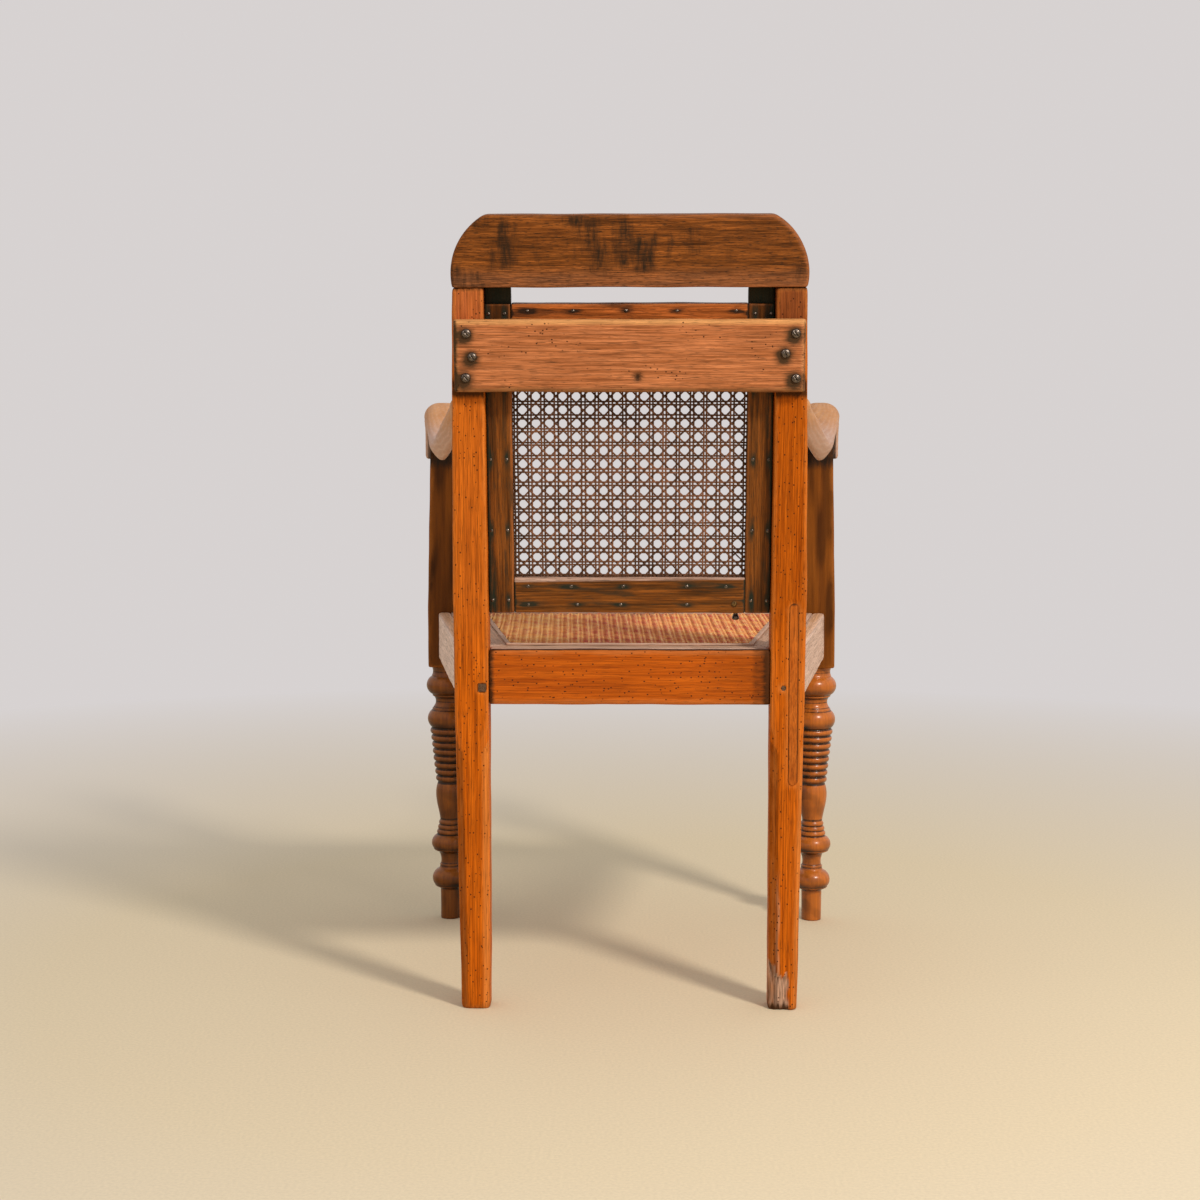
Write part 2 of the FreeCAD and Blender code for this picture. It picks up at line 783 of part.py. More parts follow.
def crest():
    low = up_rake(post_top) + crest_gap
    top = up_rake(crest_top, crest_proud)
    level = up_rake(crest_arc_height)
    centre_x = crest_half - crest_arc_radius
    start_x = centre_x + math.sqrt(crest_arc_radius ** 2 - (low - level) ** 2)
    end_x = centre_x + math.sqrt(crest_arc_radius ** 2 - (top - level) ** 2)
    turn = (math.asin((low - level) / crest_arc_radius) + math.asin((top - level) / crest_arc_radius)) / 2
    mid_x = centre_x + crest_arc_radius * math.cos(turn)
    mid_z = level + crest_arc_radius * math.sin(turn)
    y = -crest_front
    edges = [
        Part.makeLine(point(-start_x, y, low), point(start_x, y, low)),
        Part.Arc(point(start_x, y, low), point(mid_x, y, mid_z), point(end_x, y, top)).toShape(),
        Part.makeLine(point(end_x, y, top), point(-end_x, y, top)),
        Part.Arc(point(-end_x, y, top), point(-mid_x, y, mid_z), point(-start_x, y, low)).toShape(),
    ]
    board = Part.Face(Part.Wire(edges)).extrude(point(0, crest_front + crest_proud, 0))

    def shoulder(middle, along):
        return abs(along.y) > 0.9 and middle.z > top - 1

    def rim(middle, along):
        return abs(along.y) < 0.1 and middle.z > low + 1

    return rounded(rounded(board, crest_corner_radius, shoulder), crest_edge_radius, rim)


def nail(x, z):
    """Small domed nail through a strip into the back's frame."""
    seat = -back_recess
    ball = (nail_head_radius ** 2 + nail_head_high ** 2) / (2 * nail_head_high)
    cap = Part.makeSphere(ball, point(x, seat + nail_head_high - ball, z))
    cap = cap.common(cylinder(nail_head_radius, nail_head_high + overcut, point(x, seat, z), point(0, 1, 0)))
    shank = cylinder(nail_shank_radius, nail_long, point(x, seat + nail_head_high / 4, z), point(0, -1, 0))
    return joined([cap, shank])


def strip_nails():
    """Two nails at each of five levels up the side strips, and two rows along the top and bottom strips."""
    spots = []
    for row in range(nail_rows):
        height = nail_row_low + (nail_row_high - nail_row_low) * row / (nail_rows - 1)
        spots += [(x, height) for x in (-nail_outer_x, -nail_inner_x, nail_inner_x, nail_outer_x)]
    spots += [(x, low_row_height) for x in low_row_x]
    spots += [(x, sill_row_height) for x in sill_row_x]
    for height in head_row_heights:
        spots += [(x, height) for x in head_row_x]
    return [nail(x, up_rake(height, -back_recess)) for x, height in spots]


def catch_places():
    """Across and up the rake: the middle of the bolt."""
    return tongue_middle(), up_rake(bolt_height, tongue_middle())


def catch_bolt():
    y, z = catch_places()
    bolt = cylinder(bolt_radius, bolt_long, point(-bolt_tip_x, y, z), point(1, 0, 0))
    ends = [edge for edge in bolt.Edges if edge.Length < bolt_long]
    return bolt.makeChamfer(bolt_chamfer, ends)


def catch_knob():
    """Small turned knob on a stem that is driven up into the bolt."""
    y, z = catch_places()
    foot = up_rake(back_low, -back_recess) - knob_drop
    ball = Part.makeSphere(knob_radius, point(-knob_x, y, foot + knob_radius))
    collar_at = point(-knob_x, y, foot + 2 * knob_radius + collar_lift)
    collar = cylinder(knob_stem_radius + collar_proud, collar_high, collar_at, point(0, 0, 1))
    stem_at = point(-knob_x, y, foot + knob_radius)
    stem = cylinder(knob_stem_radius, z - foot - knob_radius, stem_at, point(0, 0, 1))
    return joined([ball, collar, stem])


def bolt_way():
    """Bore of the bolt and slot of its knob in the foot of the back."""
    y, z = catch_places()
    radius = bolt_radius + bolt_play
    long = bolt_mouth + bolt_long + bolt_stop_play
    bore = cylinder(radius, long, point(-bolt_tip_x - bolt_mouth, y, z), point(1, 0, 0))
    half = knob_stem_radius + bolt_play
    slot = block(-knob_x - bolt_travel - half, -knob_x + half, y - half, y + half, z - 2 * knob_drop, z)
    return bore, slot


def catch_holes():
    """Holes in the right post for the bolt, one at each height of the back."""
    y, z = catch_places()
    depth = bolt_tip_x + bolt_travel + bolt_stop_play - post_inner
    holes = []
    for step in range(int(back_rise / catch_step) + 1):
        start = point(-post_inner, y, z + step * catch_step)
        holes.append(raked(cylinder(bolt_radius + 2 * bolt_play, depth, start, point(-1, 0, 0))))
    return holes


def rail_pegs():
    """Square peg in the left post, round peg and its hole in the right one."""
    half = square_peg_size / 2
    low, high = rear_face - peg_long, rear_face + peg_proud
    square = block(square_peg_x - half, square_peg_x + half, low, high, peg_height - half, peg_height + half)
    start = point(-round_peg_x, low - peg_proud, peg_height)
    round_peg = cylinder(round_peg_radius, peg_long, start, point(0, 1, 0))
    round_hole = cylinder(round_peg_radius, far, start, point(0, 1, 0))
    return square, round_peg, round_hole


def post_patch(post):
    """Thin slip let into the rear face of the right post."""
    band = post_side(patch_depth, patch_depth)
    band.translate(point(-far, 0, 0))
    band = band.extrude(point(far, 0, 0))
    return post.common(band).common(stadium(-patch_middle, patch_width, patch_low, patch_high))


def group(solids):
    return Part.makeCompound(solids)


def make_frame():
    rails = {
        "rear_seat_rail": rear_rail(),
        "front_seat_rail": front_rail(),
        "side_seat_rail_left": side_rail(),
    }
    rails["side_seat_rail_right"] = mirrored(rails["side_seat_rail_left"])
    screws = slat_screws()
    board = slat().cut(screws)

    square, round_peg, round_hole = rail_pegs()
    rails["rear_seat_rail"] = rails["rear_seat_rail"].cut([square, round_hole])

    left_arm = arm()
    left_leg = front_leg().cut([rails["side_seat_rail_left"], rails["front_seat_rail"]])
    left_arm = left_arm.cut(left_leg)

    blank = post_blank().cut(list(leg_chamfers()) + [slide_groove()])
    left_joints = [rails["side_seat_rail_left"], rails["rear_seat_rail"], left_arm, square]
    left_post = blank.cut(left_joints + screws)

    right_blank = mirrored(blank)
    patch = post_patch(right_blank)
    right_joints = [rails["side_seat_rail_right"], rails["rear_seat_rail"], mirrored(left_arm), round_hole]
    right_post = right_blank.cut(right_joints + [patch] + screws + catch_holes())

    parts["rear_post_left"] = left_post
    parts["rear_post_right"] = right_post
    parts["post_patch"] = patch
    parts["front_leg_left"] = left_leg
    parts["front_leg_right"] = mirrored(left_leg)
    parts.update(rails)
    parts["rail_pegs"] = group([square, round_peg])
    parts["arm_left"] = left_arm
    parts["arm_right"] = mirrored(left_arm)
    parts["tie_slat"] = board
    parts["slat_screws"] = group(screws)


def make_seat():
    rear, front, left = seat_members()
    parts["seat_frame_rear"] = rear
    parts["seat_frame_front"] = front
    parts["seat_frame_left"] = left
    parts["seat_frame_right"] = mirrored(left)
    parts["seat_cane"] = seat_cane()
    parts["seat_binder"] = group(seat_binder())


def make_back():
    stile, bottom, top = back_frame()
    nails = strip_nails()
    way = list(bolt_way())
    screw_z = up_rake(catch_screw_height, -back_recess)
    head = (catch_screw_radius, catch_screw_high)
    shank = (catch_screw_shank, catch_screw_long)
    screw = dome_screw(-catch_screw_x, screw_z, -back_recess, *head, *shank, catch_screw_turn)
    flat = {
        "back_stile_left": stile,
        "back_stile_right": mirrored(stile).cut(way),
        "back_top_rail": top,
        "back_bottom_rail": bottom.cut(way),
        "back_cane": back_cane(),
    }
    flat.update(strips())
    for name, shape in flat.items():
        parts[name] = raked(shape.cut(nails)).cut(screw)
    parts["crest_rail"] = raked(crest().cut([stile, mirrored(stile)]))
    parts["strip_nails"] = raked(group(nails))
    parts["catch_screw"] = screw


def make_catch():
    knob = catch_knob()
    parts["catch_bolt"] = raked(catch_bolt().cut(knob))
    parts["catch_knob"] = raked(knob)


make_frame()
make_seat()
make_back()
make_catch()

os.makedirs("parts", exist_ok=True)
for name, shape in parts.items():
    shape.exportStep("parts/" + name + ".step")
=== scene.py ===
import json
import math
import bpy
import numpy as np
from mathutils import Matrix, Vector
from mathutils.bvhtree import BVHTree

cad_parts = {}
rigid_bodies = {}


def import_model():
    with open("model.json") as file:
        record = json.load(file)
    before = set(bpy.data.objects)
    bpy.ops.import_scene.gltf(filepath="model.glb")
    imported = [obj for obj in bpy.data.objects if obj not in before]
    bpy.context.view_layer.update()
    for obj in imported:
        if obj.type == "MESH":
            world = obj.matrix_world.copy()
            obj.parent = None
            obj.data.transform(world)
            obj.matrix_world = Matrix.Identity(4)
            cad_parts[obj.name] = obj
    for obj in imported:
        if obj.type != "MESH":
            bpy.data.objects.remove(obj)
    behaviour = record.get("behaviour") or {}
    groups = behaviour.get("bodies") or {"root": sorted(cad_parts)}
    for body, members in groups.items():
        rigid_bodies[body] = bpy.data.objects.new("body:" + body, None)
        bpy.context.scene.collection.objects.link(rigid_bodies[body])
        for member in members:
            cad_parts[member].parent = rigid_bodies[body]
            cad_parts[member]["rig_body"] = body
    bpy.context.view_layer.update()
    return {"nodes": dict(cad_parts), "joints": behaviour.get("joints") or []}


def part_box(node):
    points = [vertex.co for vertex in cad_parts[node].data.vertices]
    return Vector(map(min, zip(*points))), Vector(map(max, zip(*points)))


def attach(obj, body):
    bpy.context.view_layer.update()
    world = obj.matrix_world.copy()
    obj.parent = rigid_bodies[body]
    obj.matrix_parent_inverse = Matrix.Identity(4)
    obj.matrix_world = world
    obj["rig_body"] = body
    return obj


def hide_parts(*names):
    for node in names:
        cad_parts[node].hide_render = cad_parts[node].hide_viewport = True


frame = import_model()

# Directions of the leaning back, taken from the way it slides
slide = next(joint for joint in frame["joints"] if joint["name"] == "back_slide")
catch_slide = next(joint for joint in frame["joints"] if joint["name"] == "catch_slide")
rake_up = np.array(slide["axis"])
rake_rear = np.array([0.0, rake_up[2], -rake_up[1]])
across_way = np.array([1.0, 0.0, 0.0])

# Photograph's camera, in metres
camera_place = (-0.01394, 2.72587, 0.740)
camera_aim = (0.020386, -0.996137, -0.085417)
camera_lens = 59.55
sensor = 36.0

# Plain stage
floor_colour = (0.80, 0.66, 0.45)
backdrop_colour = (0.68, 0.645, 0.64)
floor_half = 40.0
fade_near = 0.8
fade_far = 3.0

# Light: one soft lamp from the right behind the camera, and an even fill
key_place = (-2.0, 2.55, 2.9)
key_aim = (0.0, 0.1, 0.5)
key_size = 0.6
key_power = 102.0
key_colour = (1.0, 0.95, 0.88)
fill_strength = 0.62
fill_colour = (0.97, 0.98, 1.0)

# Back's cane
back_pitch_across = 0.0168
back_pitch_up = 0.01695
back_cane_shift = -0.0014
back_first_row = 0.0083
back_pairs = 18
back_pair_gap = 0.0042
back_strand = 0.0022
back_diagonal = 0.0022
back_strand_thick = 0.0009
back_over = 0.0005
back_diagonal_over = 0.0011
back_hidden = 0.004
back_steps = 7
back_sway = 0.0003
back_sway_rate = 45
back_stray = 0.00022
back_tints = (0.2, 1.0)

# The back's one slack strand: reach either way, steps, run across and up, shift and bow
slack_reach = 0.8
slack_steps = 9
slack_run = (0.009, 0.008)
slack_shift = 0.002
slack_bow = 0.003

# Seat's cane
seat_pitch = 0.01385
seat_pair_gap = 0.0044
seat_strand = 0.0029
seat_diagonal = 0.0026
seat_strand_thick = 0.0010
seat_over = 0.0008
seat_diagonal_over = 0.0014
seat_lift = 0.0002
seat_sag = 0.0015
seat_lean = 0.028
seat_fan = 0.09
seat_steps = 5
seat_sway = 0.0004
seat_sway_rate = 30
seat_stray = 0.0002
seat_forth_tints = (0, 0.2)
seat_cross_tints = (0.2, 0.7)
seat_diagonal_tints = (0.6, 1.0)

# The seat's solid sheet: its thickness, and how high in it the weave lies
seat_sheet = 0.0022
seat_sheet_middle = 0.0008

# Range of the phases drawn for the sway of strands
phase_range = 6.3

# Turned legs
turned_top = 0.3848
turned_sides = 44
turned_rise = 0.0008
turned_reach = 0.06
turned_fillets = (0.341, 0.322, 0.106, 0.083, 0.050)
turned_fillet = 0.0013
turned_fillet_half = 0.0012
turned_tuck = 0.004
turned_foot_hole = 0.0004
turned_feelers = 8
turned_feeler_turn = 0.1
groove_reach = 5

# Heights between which an arm post gets a painted shadow under its arm
arm_shadow_low = 0.676
arm_shadow_high = 0.694

# Catch's knob: radius and height above its foot, in millimetres
knob_profile = (
    (0.2, 0.0), (3.0, 0.2), (4.2, 1.0), (4.6, 2.6), (4.2, 4.6), (3.2, 6.6), (2.7, 7.8),
    (2.9, 8.4), (3.8, 8.7), (4.0, 9.6), (3.9, 11.0), (3.9, 13.0), (0.2, 13.2),
)

# Arms: rounds of smoothing, and how their sides draw in towards the keel
arm_rounds = 60
arm_scroll_rounds = 14
arm_keel_narrowing = 0.20
arm_inner_narrowing = 0.42
arm_keel_foot = 0.718
arm_keel_head = 0.758
arm_scroll_front = -0.215
arm_scroll_rear = -0.15
arm_scroll_widening = 0.09
arm_ring_step = 0.0085
arm_ring_flat = 1.7
arm_ring_stray = 0.0008
arm_heart = 0.266
arm_heart_height = 0.79
arm_lift = 0.0015
arm_cuts = 60
# Heights over which an arm is painted paler towards its keel, as light on the faces turned to the lamp
arm_pale_from = 0.762
arm_pale_to = 0.728

# Shaded hollow behind an arm's scroll: from rear to front, from top to foot, and its outer edge
hollow_rear = -0.16
hollow_front = -0.19
hollow_top = 0.742
hollow_foot = 0.728
hollow_outer = 0.3105
hollow_inner = 0.3080

# Heads of the slat's screws, and how far each slot is turned
screw_radius = 0.006
slot_width = 0.0013
slot_depth = 0.0016
slot_edge = 1.25
slot_floor = 1.1
head_columns = 8
head_rows = 15
head_sink = 0.0002
slot_turns = (-0.75, -0.6, -0.8, -0.7, -0.5, -0.65)

# Room round the catch's bolt and beyond its tip, and the step from hole to hole up the post
bolt_room = 0.0008
bolt_hole_room = 0.0016
bolt_tip_room = 0.0006
bolt_hole_end = 0.0045
catch_step = 0.05

# Bend of the rear posts
post_bend = 0.480
post_bend_radius = 0.300

# Height under which a rear post is upright, and heights between which its colour changes at the knee
leg_straight = 0.30
knee_low = 0.42
knee_high = 0.55

# Chamfers of the rear legs: width of the inner and the outer one, depth, upper end and run-out
left_chamfers = (0.0085, 0.0100)
right_chamfers = (0.0115, 0.0055)
chamfer_deep = 0.0055
chamfer_top = 0.352
chamfer_run_out = 0.022

# Slanting upper edge of the back's bottom strip: height at each end, slope, and depth that it is cut into
sill_bevel_left = 0.0055
sill_bevel_right = 0.0016
sill_bevel_slope = 0.7
sill_bevel_deep = 0.004

# Broken inner corner of the right rear foot
split_high = 0.058
split_wide = 0.027
split_deep = 0.0045
split_far = 0.022
split_slant = 0.012
split_ridge_rate = 900

# Waves of the break's upper edge: size, rate and phase
split_jags = ((0.006, 330, 0.0), (0.004, 870, 1.0), (0.006, 140, 2.0))

# Pale split along the right leg's inner arris: lower end, full strength, upper end, fade and wander
crack_foot = 0.03
crack_full = 0.05
crack_top = 0.19
crack_fade = 0.06
crack_stray = 0.0005
crack_rate = 90

# Bed of the let-in repair: margin that is made good, its depth, edge and sunk face
patch_margin = 0.004
patch_bed = 0.009
patch_edge = 0.0002
patch_sink = 0.0008

# Knot of the slat: place across, height above the slat's foot, and depth of its dent
knot_across = -0.010
knot_rise = 0.019
knot_deep = 0.002

# Surface of the wood: rounds of averaging, push back that keeps an arm's bulk, swell that counts as arris
# or hollow, and wave lengths of the wear and of the unevenness
ease_rounds = 2
broad_rounds = 12
push_back = 1.04
arris_swell = 0.6
hollow_swell = 0.5
bite_wave = 0.05
sway_wave = 0.07

# Looks that the materials share
black = (0.0, 0.0, 0.0)
thread_dark = (0.50, 0.44, 0.38)
thread_light = (1.46, 1.46, 1.46)
cloud_cover = 0.35
edge_breaking = 1.5
edge_grit = 110.0
soil_and_shade_cover = 0.93
soil_and_shade_dull = 0.2
worm_colour = (0.045, 0.012, 0.004)
worm_cover = 0.9
worm_deep = 3.0
smooth_fibre = 0.06
rough_fibre = 0.08
wood_relief = 0.0006
fine_relief = 0.0003
coat_rough = 0.22


def points_of(mesh):
    flat = np.empty(len(mesh.vertices) * 3, np.float32)
    mesh.vertices.foreach_get("co", flat)
    return flat.reshape(-1, 3).astype(float)


def solid_points(node):
    """Vertices of a node's solid."""
    return points_of(frame["nodes"][node].data)


def span(node, direction):
    """Least and greatest distance of a node's vertices along a direction."""
    far = solid_points(node) @ np.asarray(direction, float)
    return float(far.min()), float(far.max())


def leaning(points):
    """Points as across, rearward and up the rake."""
    return np.stack([points[:, 0], points @ rake_rear, points @ rake_up], axis=1)


def upright(points):
    """Points given across, rearward and up the rake, in the chair's frame."""
    return points[:, :1] * across_way + points[:, 1:2] * rake_rear + points[:, 2:3] * rake_up


def soft_step(value, low, high):
    """Smooth climb from 0 at low to 1 at high, either way round."""
    share = np.clip((value - low) / (high - low), 0, 1)
    return share * share * (3 - 2 * share)


def near_end(value, end, start, full=0.0):
    """Smooth climb that starts some way before an end and is full nearer to it."""
    return soft_step(value, end - start, end - full)


def ripple(points, wave, seed, waves=7):
    """Smooth even noise of about unit size, made of a few plane waves."""
    draw = np.random.default_rng(seed)
    total = np.zeros(len(points))
    for _ in range(waves):
        way = draw.normal(size=3)
        way *= draw.uniform(0.6, 1.4) * 2 * math.pi / (wave * np.linalg.norm(way))
        total += np.sin(points @ way + draw.uniform(0, 2 * math.pi))
    return total / math.sqrt(waves / 2)


def quad_mesh(name, points, quads):
    mesh = bpy.data.meshes.new(name)
    mesh.vertices.add(len(points))
    mesh.vertices.foreach_set("co", points.astype(np.float32).ravel())
    mesh.loops.add(quads.size)
    mesh.loops.foreach_set("vertex_index", quads.astype(np.int32).ravel())
    mesh.polygons.add(len(quads))
    mesh.polygons.foreach_set("loop_start", np.arange(0, quads.size, 4, dtype=np.int32))
    mesh.update(calc_edges=True)
    mesh.validate()
    return mesh


def stand_in(name, mesh, material, node):
    """A smooth piece that stands for a node: on the node's body, with one material, and with the node hidden.
    """
    piece = bpy.data.objects.new(name, mesh)
    bpy.context.scene.collection.objects.link(piece)
    mesh.materials.clear()
    mesh.materials.append(material)
    mesh.polygons.foreach_set("use_smooth", [True] * len(mesh.polygons))
    body = frame["nodes"][node]["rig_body"]
    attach(piece, body)
    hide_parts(node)


def store(mesh, name, values):
    """Keep one number or one vector for each vertex."""
    kind = "FLOAT" if values.ndim == 1 else "FLOAT_VECTOR"
    field = "value" if values.ndim == 1 else "vector"
    layer = mesh.attributes.new(name, kind, "POINT")
    layer.data.foreach_set(field, values.astype(np.float32).ravel())


# Worn wood, made from the solids


def relaxed(points, quads, rounds):
    """Points after some rounds of averaging with their neighbours."""
    a = quads.ravel()
    b = np.roll(quads, -1, axis=1).ravel()
    count = np.bincount(a, minlength=len(points)) + np.bincount(b, minlength=len(points))
    count = np.maximum(count, 1)
    moved = points.copy()
    for _ in range(rounds):
        total = np.empty_like(moved)
        for axis in range(3):
            total[:, axis] = np.bincount(a, weights=moved[b, axis], minlength=len(points))
            total[:, axis] += np.bincount(b, weights=moved[a, axis], minlength=len(points))
        moved = 0.5 * moved + 0.5 * total / count[:, None]
    return moved


def facing_of(points, quads):
    """Unit normals of the vertices."""
    corners = points[quads]
    cross = np.cross(corners[:, 2] - corners[:, 0], corners[:, 3] - corners[:, 1])
    total = np.zeros_like(points)
    for corner in range(4):
        for axis in range(3):
            total[:, axis] += np.bincount(quads[:, corner], weights=cross[:, axis], minlength=len(points))
    return total / np.maximum(np.linalg.norm(total, axis=1), 1e-12)[:, None]


def even_surface(node, voxel, ease):
    """Even quads over a node's solid, with its edges a little eased."""
    source = frame["nodes"][node]
    carrier = bpy.data.objects.new("carrier", source.data.copy())
    bpy.context.scene.collection.objects.link(carrier)
    remesh = carrier.modifiers.new("even", "REMESH")
    remesh.mode = "VOXEL"
    remesh.voxel_size = voxel
    graph = bpy.context.evaluated_depsgraph_get()
    even = bpy.data.meshes.new_from_object(carrier.evaluated_get(graph))
    points = points_of(even)
    quads = np.empty(len(even.loops), np.int32)
    even.loops.foreach_get("vertex_index", quads)
    quads = quads.reshape(-1, 4)
    spare = carrier.data
    bpy.data.objects.remove(carrier)
    bpy.data.meshes.remove(spare)
    bpy.data.meshes.remove(even)
    solid = solid_tree(node)
    crisp = np.array([solid.find_nearest(point)[0] for point in points])
    soft = relaxed(points, quads, ease_rounds)
    return crisp + ease * (soft - crisp), quads


def solid_tree(node):
    mesh = frame["nodes"][node].data
    faces = [tuple(face.vertices) for face in mesh.polygons]
    return BVHTree.FromPolygons([vertex.co for vertex in mesh.vertices], faces)


def turned_profile(node):
    """Radius and height of a leg's turned part from its block down, felt on the solid, and its axis."""
    points = solid_points(node)
    foot = points[points[:, 2] < 0.02][:, :2]
    axis = (foot.min(axis=0) + foot.max(axis=0)) / 2
    solid = solid_tree(node)
    rings = []
    for height in np.arange(turned_top, turned_rise, -turned_rise):
        felt = []
        for turn in np.arange(turned_feelers) * 2 * math.pi / turned_feelers + turned_feeler_turn:
            way = Vector((math.cos(turn), math.sin(turn), 0))
            start = Vector((axis[0], axis[1], height)) + way * turned_reach
            place = solid.ray_cast(start, -way)[0]
            felt.append(math.hypot(place.x - axis[0], place.y - axis[1]))
        rings.append((float(np.median(felt)), height))
    return np.array(rings), axis


def spun(rings, axis):
    """Points and quads of a turned form, from its radius and height down an upright axis."""
    turn = np.arange(turned_sides) * 2 * math.pi / turned_sides
    x = axis[0] + rings[:, :1] * np.cos(turn)
    y = axis[1] + rings[:, :1] * np.sin(turn)
    z = np.repeat(rings[:, 1:], turned_sides, axis=1)
    first = np.arange(len(rings) - 1)[:, None] * turned_sides
    here = np.arange(turned_sides)[None, :]
    after = (here + 1) % turned_sides
    below = first + turned_sides
    faces = np.stack([first + here, below + here, below + after, first + after], axis=2)
    return np.stack([x, y, z], axis=2).reshape(-1, 3), faces.reshape(-1, 4)


def leg_surface(node, voxel, ease):
    """A front leg: its block as even quads and its turned part spun from the solid's own profile."""
    points, quads = even_surface(node, voxel, ease)
    quads = quads[(points[quads][:, :, 2] > turned_top).all(axis=1)]
    rings, axis = turned_profile(node)
    for height in turned_fillets:
        rings[:, 0] += turned_fillet * np.exp(-((rings[:, 1] - height) / turned_fillet_half) ** 2)
    top = (rings[0, 0], turned_top + turned_tuck)
    foot = ((rings[-1, 0], 0.0), (turned_foot_hole, 0.0))
    turned, faces = spun(np.concatenate([[top], rings, foot]), axis)
    return np.concatenate([points, turned]), np.concatenate([quads, faces + len(points)])


def smoothed(points, quads, rounds):
    """Points with their creases smoothed away and their bulk kept."""
    for _ in range(rounds):
        points = relaxed(points, quads, 1)
        points = points - push_back * (relaxed(points, quads, 1) - points)
    return points


def arm_surface(node, voxel, ease):
    """An arm rounded all over, as a hand would wear it, with its sides drawn in towards the keel."""
    points, quads = even_surface(node, voxel, ease)
    soft = relaxed(points, quads, arm_rounds)
    middle, half = arm_section(points, 0)
    soft_middle, soft_half = arm_section(soft, 0)
    level, tall = arm_section(points, 2)
    soft_level, soft_tall = arm_section(soft, 2)
    rear = soft_step(points[:, 1], arm_scroll_front, arm_scroll_rear)
    keel = soft_step(points[:, 2], arm_keel_head, arm_keel_foot)
    aside = (soft[:, 0] - soft_middle) * half / soft_half
    inner = aside * np.sign(middle) < 0
    narrowing = np.where(inner, arm_inner_narrowing, arm_keel_narrowing)
    soft[:, 0] = middle + aside * (1 - narrowing * keel)
    soft[:, 2] += np.clip(level + tall - soft_level - soft_tall, 0, arm_lift)
    front = smoothed(points, quads, arm_scroll_rounds)
    front[:, 0] += arm_scroll_widening * (front[:, 0] - middle)
    return front + rear[:, None] * (soft - front), quads


def arm_section(points, axis):
    """Middle and half size of an arm's cross-section beside each of its points."""
    cuts = np.linspace(points[:, 1].min(), points[:, 1].max(), arm_cuts)
    slices = np.clip(np.digitize(points[:, 1], cuts), 1, len(cuts) - 1)
    sections = [points[slices == cut, axis] for cut in range(1, len(cuts))]
    places = (cuts[1:] + cuts[:-1]) / 2
    middle = np.interp(points[:, 1], places, [(cut.min() + cut.max()) / 2 for cut in sections])
    half = np.interp(points[:, 1], places, [np.ptp(cut) / 2 for cut in sections])
    return middle, half


def worn_wood(node, material, grain, marks=None, shape=None, voxel=0.0028, ease=0.35, rounding=0.3,
              wave=0.00018, surface=even_surface):
    """A wooden piece with eased edges, and with its grain, wear, dirt, shade and painted light kept on its
    vertices.
    """
    points, quads = surface(node, voxel, ease)
    used = np.zeros(len(points), bool)
    used[quads.ravel()] = True
    quads = (np.cumsum(used) - 1)[quads]
    points = points[used]
    facing = facing_of(points, quads)
    broad = relaxed(points, quads, broad_rounds)
    swell = ((points - broad) * facing).sum(axis=1) / voxel
    looks = {"wear": np.clip(swell / arris_swell, 0, 1), "dirt": np.clip(-swell / hollow_swell, 0, 1)}
    for name in ("tint", "shade", "raw"):
        looks[name] = np.zeros(len(points))
    seed = sum(ord(letter) for letter in node)
    bite = rounding * looks["wear"] * soft_step(ripple(points, bite_wave, seed), -0.4, 1.5)
    points = points + (broad - points) * bite[:, None]
    points = points + facing * (wave * ripple(points, sway_wave, seed + 1))[:, None]
    if shape:
        points = shape(points, facing)
    points[:, 2] = np.maximum(points[:, 2], 0)
    if marks:
        marks(points, facing, looks)
    mesh = quad_mesh(node + "_wood", points, quads)
    store(mesh, "grain", grain(points))
    store(mesh, "bore", bored(points, quads, grain))
    for name, values in looks.items():
        store(mesh, name, np.clip(values, 0, 1))
    stand_in(node + "_wood", mesh, material, node)


def grain_up_rake(points):
    lean = leaning(points)
    return np.stack([lean[:, 2], lean[:, 0], lean[:, 1]], axis=1)


def grain_up_post(points):
    """Up a rear post, keeping to its rear face round the bend."""
    return np.stack([points[:, 2], points[:, 0], points[:, 1] - post_face(points[:, 2])], axis=1)


def grain_across_rake(points):
    return leaning(points)[:, [0, 2, 1]]


def grain_up(points):
    return points[:, [2, 0, 1]]


def grain_across(points):
    return points[:, [0, 2, 1]]


def grain_forward(points):
    """From rear to front, along the way the piece runs."""
    aside, rise = [np.polyfit(points[:, 1], points[:, axis], 1)[0] for axis in (0, 2)]
    along = points[:, 1]
    return np.stack([along, points[:, 0] - aside * along, points[:, 2] - rise * along], axis=1)


def bored(points, quads, grain):
    """Places on each face along and across its grain, for holes bored square to the face."""
    lay = grain(points)
    normal = facing_of(lay, quads)
    turned = np.abs(normal[:, 1]) > np.abs(normal[:, 2])
    return np.stack([lay[:, 0], np.where(turned, lay[:, 2], lay[:, 1]), 0.5 * turned], axis=1)


# Shader nodes


def feed(tree, node, sockets):
    """Give a node's inputs their values or links."""
    for key, value in sockets.items():
        if isinstance(value, bpy.types.NodeSocket):
            tree.links.new(value, node.inputs[key])
        else:
            node.inputs[key].default_value = value


def put(tree, kind, sockets=None, **settings):
    """Add a node, with its settings and with values or links for its inputs."""
    node = tree.nodes.new(kind)
    for key, value in settings.items():
        setattr(node, key, value)
    feed(tree, node, sockets or {})
    return node


def opaque(colour):
    """A colour of three numbers with its alpha; a link stays as it is."""
    return colour if isinstance(colour, bpy.types.NodeSocket) else (*colour, 1)


def mixed(tree, share, first, second, blend="MIX"):
    """Colour mixed from two colours."""
    sockets = {0: share, 6: opaque(first), 7: opaque(second)}
    return put(tree, "ShaderNodeMix", sockets, data_type="RGBA", blend_type=blend).outputs[2]


